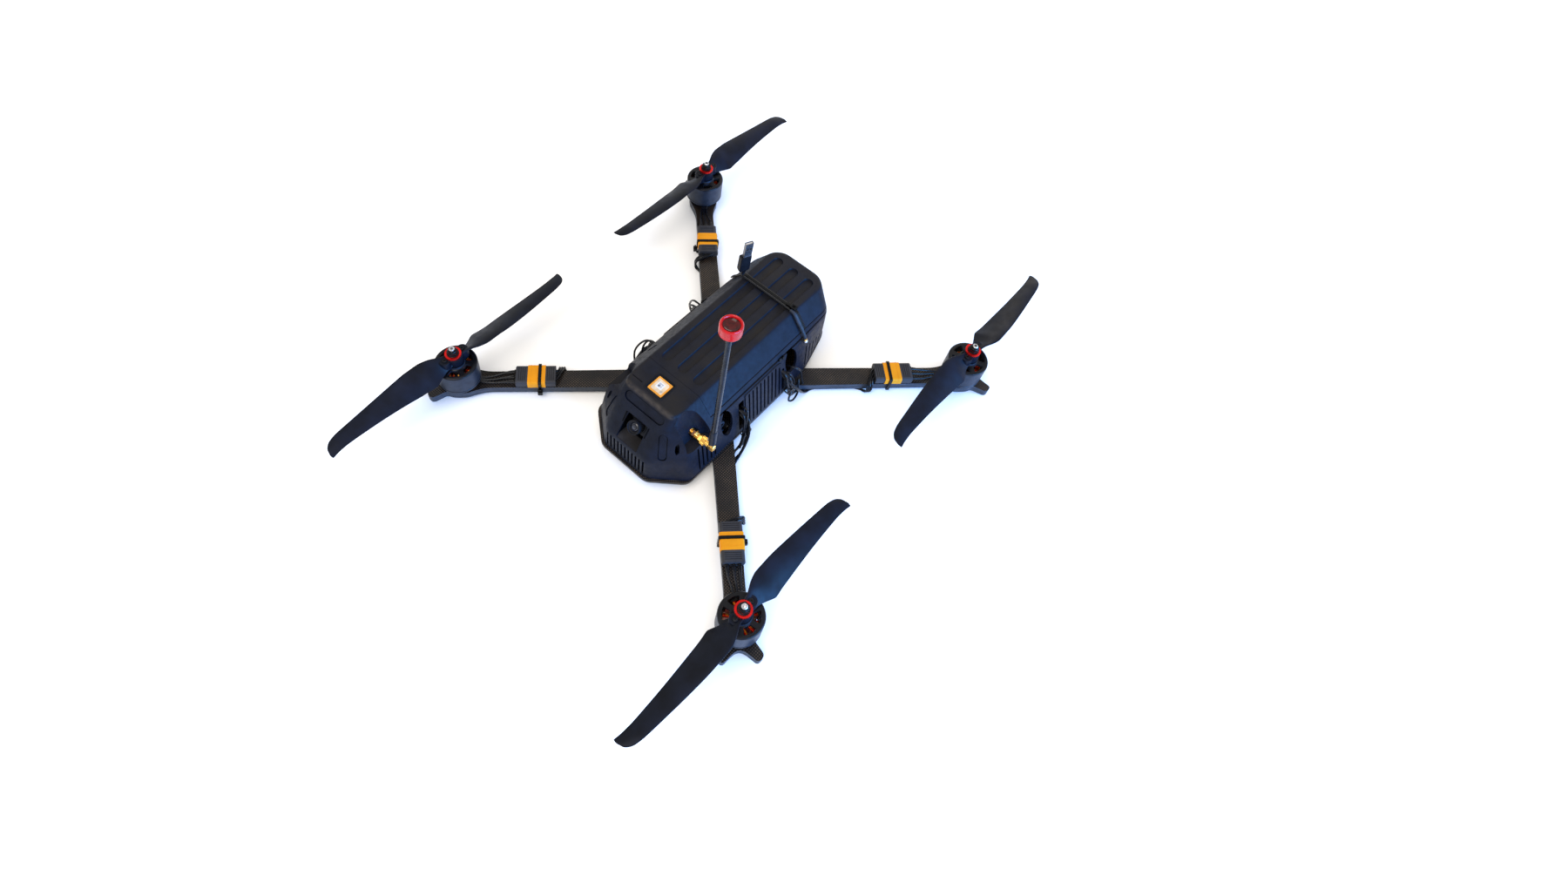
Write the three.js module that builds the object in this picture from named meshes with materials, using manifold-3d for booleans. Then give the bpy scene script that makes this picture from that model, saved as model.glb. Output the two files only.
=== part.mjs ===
// Ten-inch quadcopter with a moulded body shell over a carbon frame.
// Millimetres, +Z up, nose towards -Y, the drone's left-hand side towards +X.
// The origin is the frame's centre on the underside of the bottom plate.
import * as THREE from 'three';
import { mergeVertices } from 'three/addons/utils/BufferGeometryUtils.js';
import Module from 'manifold-3d';

const wasm = await Module();
wasm.setup();

// ---- driving dimensions -------------------------------------------------------------------
const GAP = 0.3; // running or seating gap between touching pieces

const PLATE = 3; // carbon plate thickness
const ARM_THICK = 7.5;
const ARM_BOTTOM = PLATE + GAP;
const ARM_TOP = ARM_BOTTOM + ARM_THICK;
const MID_BOTTOM = ARM_TOP + GAP;
const MID_TOP = MID_BOTTOM + PLATE;
const SHELL_BOTTOM = MID_TOP + GAP;

const MOTOR_X = 164; // motor centre, half the spacing across
const MOTOR_Y = 164; // motor centre, half the spacing along
const MOTOR_REACH = Math.hypot(MOTOR_X, MOTOR_Y);
const ARM_ROOT_WIDTH = 20;
const ARM_TIP_WIDTH = 17;
const PAD_RADIUS = 15.5;

const BELL_RADIUS = 18.7;
const BELL_WALL = 1.8;
const BELL_BOTTOM = 16.5;
const BELL_TOP = 39.2;
const BELL_FACE = 3.2;
const SPOKES = 6;
const SHAFT_RADIUS = 2.5;
const SHAFT_TOP = 59.4;
const SEAT_TOP = 41; // raised seat that the propeller stands on

const PROP_RADIUS = 127; // ten inches across the tips
const PROP_PITCH = 127; // five inches of advance a turn
const PROP_HUB_BOTTOM = SEAT_TOP + GAP;
const PROP_HUB_TOP = 50.8;
const PROP_MID = 47;
const RING_BOTTOM = PROP_HUB_TOP + GAP;
const RING_TOP = 52.8;
const NUT_BOTTOM = RING_TOP + GAP;
const NUT_TOP = 57.6;

const TOP_Z = 82; // crown of the shell
const SPLIT_Z = 66; // seam between the shell's base and its lid
const LID_FRONT = -64; // front end of the lid
const WALL = 2.2; // moulded wall
const SLOT_WIDTH = 1.9; // vent slot
const VENT_BOTTOM = 17;

const CAMERA_TILT = THREE.MathUtils.degToRad(33.4); // lens axis above the horizon
const CAMERA_PIVOT = new THREE.Vector3(0, -95, 46.5);
const CAMERA_SIZE = 19;

const SMA = new THREE.Vector3(38, -80, 55.5); // antenna socket, where its axis meets the pocket wall
const ANTENNA_X = 58;
const ANTENNA_TOP = 224;
const CAP_BOTTOM = ANTENNA_TOP - 10.3;

// ---- materials ----------------------------------------------------------------------------
function paint(color, roughness, metalness = 0) {
  return new THREE.MeshStandardMaterial({ color, roughness, metalness });
}
const LOOK = {
  carbon: paint(0x2b2826, 0.45),
  shell: paint(0x1c2130, 0.62),
  prop: paint(0x171c2a, 0.4),
  bell: paint(0x14161c, 0.35, 0.8),
  winding: paint(0xa23a22, 0.4, 0.7),
  red: paint(0xc81f1c, 0.3, 0.7),
  nut: paint(0x121214, 0.35, 0.8),
  cap: paint(0x48484a, 0.6),
  tie: paint(0x0d0d0e, 0.5),
  lead: paint(0x101116, 0.5),
  gold: paint(0xc79a3c, 0.25, 1),
  steel: paint(0xc4c6ca, 0.25, 1),
  redCap: paint(0xb81f1f, 0.25),
  ceramic: paint(0xe2b468, 0.5),
  glass: paint(0x10131c, 0.05),
  board: paint(0x18301f, 0.6),
  battery: paint(0x26282c, 0.5),
};

// ---- solids -------------------------------------------------------------------------------
function solid(geometry) {
  const bare = geometry.clone();
  for (const name of Object.keys(bare.attributes)) {
    if (name !== 'position') bare.deleteAttribute(name);
  }
  const merged = mergeVertices(bare, 1e-4);
  return new wasm.Manifold(new wasm.Mesh({
    numProp: 3,
    vertProperties: new Float32Array(merged.attributes.position.array),
    triVerts: new Uint32Array(merged.index.array),
  }));
}

function geometryOf(manifold) {
  const mesh = manifold.getMesh();
  const positions = new Float32Array(mesh.numVert * 3);
  for (let i = 0; i < mesh.numVert; i += 1) {
    for (let k = 0; k < 3; k += 1) positions[3 * i + k] = mesh.vertProperties[mesh.numProp * i + k];
  }
  const geometry = new THREE.BufferGeometry();
  geometry.setAttribute('position', new THREE.BufferAttribute(positions, 3));
  geometry.setIndex(new THREE.BufferAttribute(new Uint32Array(mesh.triVerts), 1));
  return geometry;
}

function join(pieces) {
  return pieces.reduce((sum, piece) => sum.add(piece));
}

function cut(body, tools) {
  return tools.reduce((rest, tool) => rest.subtract(tool), body);
}

function box(low, high) {
  const size = high.map((value, k) => value - low[k]);
  const geometry = new THREE.BoxGeometry(...size);
  geometry.translate(...low.map((value, k) => value + size[k] / 2));
  return solid(geometry);
}

function shapeOf(points) {
  return new THREE.Shape(points.map(([x, y]) => new THREE.Vector2(x, y)));
}

// A flat outline in X and Y, from one height to another.
function prism(points, bottom, top) {
  const geometry = new THREE.ExtrudeGeometry(shapeOf(points), { depth: top - bottom, bevelEnabled: false });
  geometry.translate(0, 0, bottom);
  return solid(geometry);
}

// An outline of [y, z] points, pushed along X.
function sidePrism(points, from, to) {
  const geometry = new THREE.ExtrudeGeometry(shapeOf(points), { depth: to - from, bevelEnabled: false });
  geometry.translate(0, 0, from);
  geometry.applyMatrix4(new THREE.Matrix4().set(0, 0, 1, 0, 1, 0, 0, 0, 0, 1, 0, 0, 0, 0, 0, 1));
  return solid(geometry);
}

function cylinder(radius, bottom, top, sides, x = 0, y = 0) {
  const geometry = new THREE.CylinderGeometry(radius, radius, top - bottom, sides);
  geometry.rotateX(Math.PI / 2);
  geometry.translate(x, y, (top + bottom) / 2);
  return solid(geometry);
}

// A profile of [radius, height] points turned about the Z axis.
function turned(profile, sides) {
  const geometry = new THREE.LatheGeometry(profile.map(([r, z]) => new THREE.Vector2(r, z)), sides);
  geometry.rotateX(Math.PI / 2);
  return solid(geometry);
}

// A closed skin through rising rings of [x, y, z] points.
function loft(levels) {
  const flat = (ring) => ring.map(([x, y]) => new THREE.Vector2(x, y));
  const clockwise = THREE.ShapeUtils.isClockWise(flat(levels[0]));
  const rings = clockwise ? levels.map((ring) => [...ring].reverse()) : levels;
  const count = rings[0].length;
  const positions = rings.flat(2);
  const index = [];
  for (let r = 0; r < rings.length - 1; r += 1) {
    for (let i = 0; i < count; i += 1) {
      const a = r * count + i;
      const b = r * count + (i + 1) % count;
      index.push(a, b, b + count, a, b + count, a + count);
    }
  }
  const last = (rings.length - 1) * count;
  for (const [a, b, c] of THREE.ShapeUtils.triangulateShape(flat(rings.at(-1)), [])) {
    index.push(last + a, last + b, last + c);
  }
  for (const [a, b, c] of THREE.ShapeUtils.triangulateShape(flat(rings[0]), [])) index.push(a, c, b);
  const geometry = new THREE.BufferGeometry();
  geometry.setAttribute('position', new THREE.Float32BufferAttribute(positions, 3));
  geometry.setIndex(index);
  return solid(geometry);
}

// A round tube along a smooth curve through the points.
function tube(points, radius, steps, sides) {
  const curve = new THREE.CatmullRomCurve3(points.map((p) => new THREE.Vector3(...p)), false, 'centripetal');
  const section = [];
  for (let i = 0; i < sides; i += 1) {
    const angle = (i / sides) * 2 * Math.PI;
    section.push([radius * Math.cos(angle), radius * Math.sin(angle)]);
  }
  return solid(new THREE.ExtrudeGeometry(shapeOf(section), {
    steps, extrudePath: curve, bevelEnabled: false,
  }));
}

function arc(cx, cy, radius, from, to, steps) {
  const points = [];
  for (let i = 0; i <= steps; i += 1) {
    const angle = THREE.MathUtils.degToRad(from + ((to - from) * i) / steps);
    points.push([cx + radius * Math.cos(angle), cy + radius * Math.sin(angle)]);
  }
  return points;
}

function mirrored(points) {
  return points.concat(points.map(([x, ...rest]) => [-x, ...rest]).reverse());
}

const drone = new THREE.Group();
drone.name = 'quadcopter';

function add(name, piece, look, parent = drone) {
  const mesh = new THREE.Mesh(piece.isBufferGeometry ? piece : geometryOf(piece), look);
  mesh.name = name;
  parent.add(mesh);
  return mesh;
}

// ---- frame plates -------------------------------------------------------------------------
function addPlates() {
  const bottom = mirrored([[22, -104], [42, -84], [42, 50], [32, 92], [18, 100]]);
  add('bottom_plate', prism(bottom, 0, PLATE), LOOK.carbon);
  const mid = mirrored([[25.8, -124.3], [54.5, -101], [54.5, 58], [40.5, 110], [25.5, 121.5]]);
  add('mid_plate', prism(mid, MID_BOTTOM, MID_TOP), LOOK.carbon);
}

// ---- arms ---------------------------------------------------------------------------------
// The arm's own frame: it runs along +X from the frame's centre, and the motor stands at MOTOR_REACH.
const ARM_INNER = 9;
const SCREW_CIRCLE = 9.5; // radius of the circle of motor screws

function armOutline() {
  const m = MOTOR_REACH;
  const root = ARM_ROOT_WIDTH / 2;
  const tip = ARM_TIP_WIDTH / 2;
  const half = [
    [ARM_INNER, 0],
    [ARM_INNER + root - 0.6, root],
    [m - 40, tip + 0.4],
    [m - 24, tip + 0.2],
    [m - 17, 10.5],
    ...arc(m, 0, PAD_RADIUS, 132, 62, 3),
    [m + 11.5, 12.2],
    [m + 16.5, 15.4],
    [m + 22.5, 18.6],
    [m + 24.5, 18.2],
    [m + 27.5, 14.4],
    [m + 27, 12.6],
    [m + 22.3, 7.5],
    [m + 19.4, 4],
    [m + 18.3, 0],
  ];
  const lower = half.slice(1, -1).reverse().map(([x, y]) => [x, -y]);
  return half.concat(lower).reverse();
}

function addArm(corner) {
  const screwHoles = [45, 135, 225, 315].map((degrees) => {
    const angle = THREE.MathUtils.degToRad(degrees);
    const x = MOTOR_REACH + SCREW_CIRCLE * Math.cos(angle);
    return cylinder(1.7, ARM_BOTTOM - 1, ARM_TOP + 1, 6, x, SCREW_CIRCLE * Math.sin(angle));
  });
  const hub = cylinder(3.5, ARM_BOTTOM - 1, ARM_TOP + 1, 12, MOTOR_REACH, 0);
  add(`arm_${corner.name}`, cut(prism(armOutline(), ARM_BOTTOM, ARM_TOP), [hub, ...screwHoles]), LOOK.carbon,
    corner.along);
}

// ---- motors and propellers, each about its own shaft ---------------------------------------
const STATOR_BOTTOM = ARM_TOP + GAP;
const TEETH = 9;

function addStator(corner) {
  const base = turned([[2.9, STATOR_BOTTOM], [14, STATOR_BOTTOM], [14, STATOR_BOTTOM + 2.2], [6, 15.4],
    [6, 31.5], [2.9, 31.5], [2.9, STATOR_BOTTOM]], 14);
  const outline = [];
  for (let i = 0; i < TEETH; i += 1) {
    for (const [turn, radius] of [[0.14, 9], [0.24, 15.8], [0.76, 15.8], [0.86, 9]]) {
      const angle = ((i + turn) / TEETH) * 2 * Math.PI;
      outline.push([radius * Math.cos(angle), radius * Math.sin(angle)]);
    }
  }
  const bore = cylinder(4, 16, 32, 8);
  const core = prism(outline, 18, 30).subtract(bore);
  add(`motor_stator_${corner.name}`, base.add(core), LOOK.winding, corner.hub);
}

function addBell(corner) {
  const inner = BELL_RADIUS - BELL_WALL;
  const cup = turned([
    [inner, BELL_BOTTOM], [BELL_RADIUS, BELL_BOTTOM],
    [BELL_RADIUS, BELL_TOP - 1.2], [BELL_RADIUS - 1.2, BELL_TOP], [9, BELL_TOP], [8, SEAT_TOP],
    [SHAFT_RADIUS, SEAT_TOP], [SHAFT_RADIUS, SHAFT_TOP], [0, SHAFT_TOP],
    [0, STATOR_BOTTOM + 0.6], [SHAFT_RADIUS, STATOR_BOTTOM + 0.6],
    [SHAFT_RADIUS, BELL_TOP - BELL_FACE], [inner, BELL_TOP - BELL_FACE], [inner, BELL_BOTTOM],
  ], 20);
  const windows = [];
  const spread = 360 / SPOKES;
  for (let i = 0; i < SPOKES; i += 1) {
    const middle = i * spread + spread / 2;
    const half = 20;
    const outline = arc(0, 0, 14.8, middle - half, middle + half, 2)
      .concat(arc(0, 0, 9.6, middle + half - 4, middle - half + 4, 1));
    windows.push(prism(outline, BELL_TOP - BELL_FACE - 1, BELL_TOP + 1));
  }
  add(`motor_bell_${corner.name}`, cut(cup, windows), LOOK.bell, corner.hub);
}

// Blade stations: [radius, leading edge, trailing edge], the edges measured across the blade.
const STATIONS = [
  [4, -5.2, 5.2], [10, -6, 5.4], [15, -7.6, 5.8], [26, -11.8, 10.6], [36, -12.3, 10],
  [50, -12.2, 9], [82, -9.9, 7.2], [100, -8.2, 6.7], [114, -6.6, 6.8], [121.5, -4.4, 7.4],
  [125.8, -0.6, 8], [PROP_RADIUS, 4.6, 8.2],
];
const BLADE_MAX_RISE = 5.2;

function bladeRing([radius, lead, trail], spin) {
  const width = trail - lead;
  const slope = PROP_PITCH / (2 * Math.PI * Math.max(radius, 14));
  const limit = Math.min(2 + radius * 0.2, BLADE_MAX_RISE);
  const rise = Math.min((width / 2) * slope, limit);
  const thick = THREE.MathUtils.lerp(2.2, 0.9, radius / PROP_RADIUS);
  const middle = (lead + trail) / 2;
  const crest = middle - width * 0.15;
  const top = PROP_MID + rise * 0.3 + thick / 2;
  const ring = [
    [lead, radius, PROP_MID + rise],
    [middle + width * 0.1, radius, PROP_MID - rise * 0.2 - thick / 2],
    [trail, radius, PROP_MID - rise],
    [crest, radius, top],
  ];
  const turnedRing = ring.map(([x, y, z]) => [spin * x, y, z]);
  return spin > 0 ? turnedRing : turnedRing.reverse();
}

// loft() caps its ends by their X and Y outline, so a blade is lofted standing up and then laid down.
function bladeSolid(spin) {
  const standing = STATIONS.map((station) => bladeRing(station, spin)
    .map(([x, y, z]) => [x, -(z - PROP_MID), y]).reverse());
  const laid = geometryOf(loft(standing));
  laid.applyMatrix4(new THREE.Matrix4().set(1, 0, 0, 0, 0, 0, 1, 0, 0, -1, 0, PROP_MID, 0, 0, 0, 1));
  return solid(laid);
}

function addPropeller(corner) {
  const blade = bladeSolid(corner.spin);
  const bosses = [9.3, -9.3].map((y) => cylinder(5, PROP_HUB_BOTTOM, PROP_HUB_TOP - 0.4, 10, 0, y));
  const hub = cylinder(7.4, PROP_HUB_BOTTOM, PROP_HUB_TOP, 16);
  const bore = cylinder(SHAFT_RADIUS + 0.35, PROP_HUB_BOTTOM - 3, PROP_HUB_TOP + 3, 12);
  const body = join([blade, blade.rotate([0, 0, 180]), hub, ...bosses]);
  add(`propeller_${corner.name}`, body.subtract(bore), LOOK.prop, corner.hub);
}

function addPropFixings(corner) {
  const bore = SHAFT_RADIUS + 0.35;
  add(`prop_ring_${corner.name}`, turned([[bore, RING_BOTTOM], [7.15, RING_BOTTOM], [7.15, RING_TOP],
    [bore, RING_TOP], [bore, RING_BOTTOM]], 20), LOOK.red, corner.hub);
  const hexagon = cylinder(4.9, NUT_BOTTOM, NUT_TOP - 1.4, 6);
  const collar = cylinder(3.9, NUT_TOP - 1.4, NUT_TOP, 12);
  const hole = cylinder(bore, NUT_BOTTOM - 1, NUT_TOP + 1, 12);
  add(`prop_nut_${corner.name}`, hexagon.add(collar).subtract(hole), LOOK.nut, corner.hub);
}

// ---- motor wiring on each arm ---------------------------------------------------------------
const PLUG = { from: 147.5, to: 183, half: 10.2, height: 8.5 };
const PLUG_BOTTOM = ARM_TOP + GAP;
const TIE = { from: 160.2, to: 162.8 };
const LEAD_WIRE = 1.1; // radius of one insulated wire

function addConnector(corner) {
  const body = box([PLUG.from, -PLUG.half, PLUG_BOTTOM], [PLUG.to, PLUG.half, PLUG_BOTTOM + PLUG.height]);
  const groove = [
    box([TIE.from - GAP, -PLUG.half - 1, PLUG_BOTTOM + PLUG.height - 0.5],
      [TIE.to + GAP, PLUG.half + 1, PLUG_BOTTOM + PLUG.height + 1]),
    box([TIE.from - GAP, PLUG.half - 0.5, PLUG_BOTTOM - 1],
      [TIE.to + GAP, PLUG.half + 1, PLUG_BOTTOM + PLUG.height + 1]),
    box([TIE.from - GAP, -PLUG.half - 1, PLUG_BOTTOM - 1],
      [TIE.to + GAP, -PLUG.half + 0.5, PLUG_BOTTOM + PLUG.height + 1]),
  ];
  add(`motor_connector_${corner.name}`, cut(body, groove), LOOK.cap, corner.along);
  const side = PLUG.half - 0.5 + GAP;
  const top = PLUG_BOTTOM + PLUG.height - 0.5 + GAP;
  const band = box([TIE.from, -side - 1.2, ARM_BOTTOM - GAP - 1.2], [TIE.to, side + 1.2, top + 1.2]);
  const inside = box([TIE.from - 1, -side, ARM_BOTTOM - GAP], [TIE.to + 1, side, top]);
  const head = box([TIE.from - 1, side + 0.2, 5], [TIE.to + 1, side + 4.4, 10]);
  add(`connector_tie_${corner.name}`, band.subtract(inside).add(head), LOOK.tie, corner.along);
}

function addMotorLeads(corner) {
  const start = PLUG.to + GAP;
  const end = MOTOR_REACH - 14.6;
  const height = ARM_TOP + GAP + LEAD_WIRE;
  const wires = [-2.3, 0, 2.3].map((offset) => tube([
    [start, offset * 2, PLUG_BOTTOM + 3.4],
    [start + 3, offset * 2, PLUG_BOTTOM + 3],
    [(start + end) / 2, offset * 1.3, height + 1.2],
    [end - 5, offset, height + 1],
    [end, offset, height + 2.3],
  ], LEAD_WIRE, 5, 6));
  const boot = box([start, -5.6, PLUG_BOTTOM + 2.2], [start + 1.6, 5.6, PLUG_BOTTOM + 4.6]);
  add(`motor_leads_${corner.name}`, join([boot, ...wires]), LOOK.lead, corner.along);
}

// The leads from the body run out under the arm and fold up round its edge into the connector.
function addSpeedLeads(corner) {
  const s = corner.leadSide;
  const under = ARM_BOTTOM - 2 * GAP - LEAD_WIRE;
  const route = [
    [PLUG.from - GAP, s * 3, PLUG_BOTTOM + 4],
    [PLUG.from - 2.4, s * 3, PLUG_BOTTOM + 4],
    [PLUG.from - 5, s * 7, PLUG_BOTTOM + 3.6],
    [PLUG.from - 4.6, s * 12, PLUG_BOTTOM + 1],
    [PLUG.from - 4.6, s * 13, ARM_BOTTOM + 1],
    [PLUG.from - 8, s * 10, under],
    [PLUG.from - 22, s * 3.6, under],
    [112, s * 3.4, under],
    [90, s * 6, under],
    [82, s * 10, under + 0.4],
    [77, s * 15, 8],
    [72, s * 19.5, 18],
    [66, s * 21.5, 28],
    [59.5, s * 19.6, 34],
    [55, s * 14.6, 36],
    [52, s * 10.4, 34],
  ];
  add(`speed_leads_${corner.name}`, tube(route, LEAD_WIRE, 27, 6), LOOK.lead, corner.along);
}

// ---- body shell -----------------------------------------------------------------------------
// Half outlines at rising heights, front centre to rear centre: [half width, y].
const SKIN = [
  { z: SHELL_BOTTOM, ring: [[24.8, -122.2], [54, -98.3], [54, 58], [40, 109.5], [25, 121]] },
  { z: 39, ring: [[22.4, -121.8], [49.9, -96.6], [49.9, 58], [42, 104.3], [24, 115.6]] },
  { z: 58, ring: [[23.6, -109.6], [46.6, -93.2], [46.6, 58], [43.4, 100.2], [23, 112]] },
  { z: SPLIT_Z - 2.5, ring: [[24.2, -106], [43.4, -91.4], [43.4, 58], [43, 98.6], [22.4, 111]] },
  { z: SPLIT_Z + 1, ring: [[24.6, -103.8], [41.2, -90], [41.2, 58], [41.8, 97.8], [22, 110.4]] },
  { z: TOP_Z - 1.2, ring: [[26, -94.6], [29.2, -84.6], [29.2, 58], [30.6, 100.8], [20.4, 109.4]] },
  { z: TOP_Z, ring: [[25, -93], [27.6, -83.8], [27.6, 57.6], [29, 99.8], [19.6, 108]] },
];

function skinRing({ z, ring }, inset) {
  const half = ring.map(([x, y], i) => {
    const lengthwise = (i === 0 && 1) || (i === ring.length - 1 && -1) || 0;
    const corner = (i === 1 && 0.5) || (i === ring.length - 2 && -0.6) || 0;
    return [x - inset * (lengthwise ? 0.55 : 1), y + inset * (lengthwise + corner), z];
  });
  return mirrored(half);
}

// The outer skin, or with an inset the hollow inside it, which is open at the bottom.
function skin(inset) {
  const rings = SKIN.map((level) => skinRing(level, inset));
  if (inset > 0) {
    rings[0] = rings[0].map(([x, y]) => [x, y, SHELL_BOTTOM - 5]);
    for (const i of [rings.length - 2, rings.length - 1]) {
      rings[i] = rings[i].map(([x, y, z]) => [x, y, z - inset]);
    }
  }
  return loft(rings);
}

// A row of upright slots through the side wall: y of each slot and the height of its top.
const SIDE_VENTS = [
  ...[-85, -80, -75, -70, -65].map((y) => [y, 47]),
  ...[0, 1, 2, 3, 4, 5, 6, 7, 8].map((i) => [-19.5 + 5.2 * i, 57 - (i === 8 ? 3 : 0)]),
  ...[64.5, 71.5, 78.5, 85.5, 92.5].map((y, i) => [y, 44 - 3 * i]),
];

function ellipse(cy, cz, ry, rz, lean) {
  const points = [];
  const steps = 16;
  for (let i = 0; i < steps; i += 1) {
    const angle = (i / steps) * 2 * Math.PI;
    const up = rz * Math.sin(angle);
    points.push([cy + ry * Math.cos(angle) - lean * up, cz + up]);
  }
  return points;
}

function sideCuts() {
  const reach = [30, 62];
  const cuts = SIDE_VENTS.map(([y, top]) => box([reach[0], y - SLOT_WIDTH / 2, VENT_BOTTOM],
    [reach[1], y + SLOT_WIDTH / 2, top]));
  cuts.push(sidePrism(ellipse(-48.5, 44, 7.2, 16.5, 0.06), ...reach));
  cuts.push(sidePrism(ellipse(40, 46, 8.2, 15.5, 0.12), ...reach));
  cuts.push(box([reach[0], -33, 18], [reach[1], -26, 55]));
  cuts.push(box([reach[0], 26, 18], [reach[1], 30, 46]));
  const below = [[38.5, -96], [38.5, -77], [42.5, -70.4], [47, -69.4], [66, -69], [66, -96]];
  const above = [[27.8, -94], [27.8, -82.6], [31, -74], [46.8, -68.8], [66, -68.8], [66, -94]];
  cuts.push(loft([below.map((p) => [...p, 49.5]), above.map((p) => [...p, TOP_Z + 0.6])]));
  return cuts;
}

// The scoop's inner wall, which closes the shell behind the antenna socket.
function scoopWall() {
  const below = [[36.3, -98], [36.3, -76], [41, -68.2], [47, -67.2], [52, -67.2], [52, -98]];
  const above = [[25.6, -96], [25.6, -82], [29.4, -72.4], [46, -66.8], [60, -66.8], [60, -96]];
  return loft([below.map((p) => [...p, 47.3]), above.map((p) => [...p, TOP_Z])]);
}

function onRight(piece) {
  return piece.mirror([1, 0, 0]);
}

const FRONT_SLOTS = 11;
const FRONT_PITCH = 4.1;
const FRONT_SLOT_TOP = 37;
const CAMERA_WINDOW = { bottom: 40.6, top: 63.5, lower: 11.4, upper: 11, back: -97 };

function frontCuts() {
  const cuts = [];
  for (let i = 0; i < FRONT_SLOTS; i += 1) {
    const x = (i - (FRONT_SLOTS - 1) / 2) * FRONT_PITCH;
    cuts.push(box([x - SLOT_WIDTH / 2, -130, VENT_BOTTOM], [x + SLOT_WIDTH / 2, -112, FRONT_SLOT_TOP]));
  }
  const { bottom, top, lower, upper, back } = CAMERA_WINDOW;
  const outline = [[-lower, bottom], [lower, bottom], [upper, top], [-upper, top]];
  const geometry = new THREE.ExtrudeGeometry(shapeOf(outline), { depth: 30, bevelEnabled: false });
  geometry.rotateX(Math.PI / 2);
  geometry.translate(0, back, 0);
  cuts.push(solid(geometry));
  return cuts;
}

const RIB = { pitch: 17.5, half: 4.6, front: -53, rear: 95.2, depth: 0.9 };
const PATCH = { x: -1.5, y: -79, half: 7.6, frame: 9.4 };

function addShell() {
  const outer = skin(0);
  const inner = skin(WALL);
  const lidSpace = box([-60, LID_FRONT - GAP, SPLIT_Z - GAP], [60, 130, 100]);
  const lidBlock = box([-60, LID_FRONT, SPLIT_Z], [60, 130, 100]);
  const patchWell = box([PATCH.x - PATCH.frame, PATCH.y - PATCH.frame, TOP_Z - 8],
    [PATCH.x + PATCH.frame, PATCH.y + PATCH.frame, TOP_Z + 2]);
  const scoops = [scoopWall(), onRight(scoopWall())];
  const socketHole = cylinder(3.6, 0, 20, 14).rotate([0, 90, 0]).translate([30, SMA.y, SMA.z]);
  const scoopSkin = join(scoops).intersect(outer);
  const sides = sideCuts();
  const hollow = outer.subtract(inner).add(scoopSkin);
  const tools = [lidSpace, patchWell, ...sides, ...sides.map(onRight), ...frontCuts(), socketHole];
  const base = cut(hollow, tools);
  add('shell_base', base, LOOK.shell);

  const ribs = [-RIB.pitch, 0, RIB.pitch].map((x) => prism(arc(x, RIB.rear, RIB.half, 0, 180, 6)
    .concat(arc(x, RIB.front, RIB.half, 180, 360, 6)), TOP_Z - RIB.depth, TOP_Z + 1));
  const lid = cut(outer.subtract(inner).intersect(lidBlock), ribs);
  add('shell_lid', lid, LOOK.shell);
}

// ---- navigation antenna, camera ---------------------------------------------------------------
function addPatch() {
  const foot = box([PATCH.x - 9, PATCH.y - 9, TOP_Z - 7.6], [PATCH.x + 9, PATCH.y + 9, TOP_Z - 4]);
  const tile = box([PATCH.x - PATCH.half, PATCH.y - PATCH.half, TOP_Z - 4.5],
    [PATCH.x + PATCH.half, PATCH.y + PATCH.half, TOP_Z - 0.4]);
  add('gps_antenna', foot.add(tile), LOOK.ceramic);
}

function addCamera() {
  const half = CAMERA_SIZE / 2;
  const y = CAMERA_PIVOT.y;
  const z = CAMERA_PIVOT.z;
  const cheek = (side) => box([side > 0 ? half + 0.8 : -half - 3, y - 5, SHELL_BOTTOM],
    [side > 0 ? half + 3 : -half - 0.8, y + 5, z + 4.5]);
  const floor = box([-half - 3, y - 9, SHELL_BOTTOM], [half + 3, y + 9, SHELL_BOTTOM + 2.2]);
  const pinHole = cylinder(1.9, -20, 20, 12).rotate([0, 90, 0]).translate([0, y, z]);
  add('camera_bracket', join([cheek(1), cheek(-1), floor]).subtract(pinHole), LOOK.cap);

  const tilted = new THREE.Group();
  tilted.position.copy(CAMERA_PIVOT);
  tilted.rotation.x = -CAMERA_TILT;
  drone.add(tilted);
  const housing = box([-half, -8, -half], [half, 9, half]);
  const pins = cylinder(1.5, -half - 2.6, half + 2.6, 12).rotate([0, 90, 0]);
  add('camera_body', housing.add(pins), LOOK.tie, tilted);
  const barrel = turned([[0, 8.3], [7.4, 8.3], [7.4, 11], [6.4, 12], [6.4, 17], [7, 17.4], [7, 20.6],
    [6.2, 20.6], [4.6, 18.8], [0, 19.6]], 16).rotate([90, 0, 0]);
  add('camera_lens', barrel, LOOK.glass, tilted);
}

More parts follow.
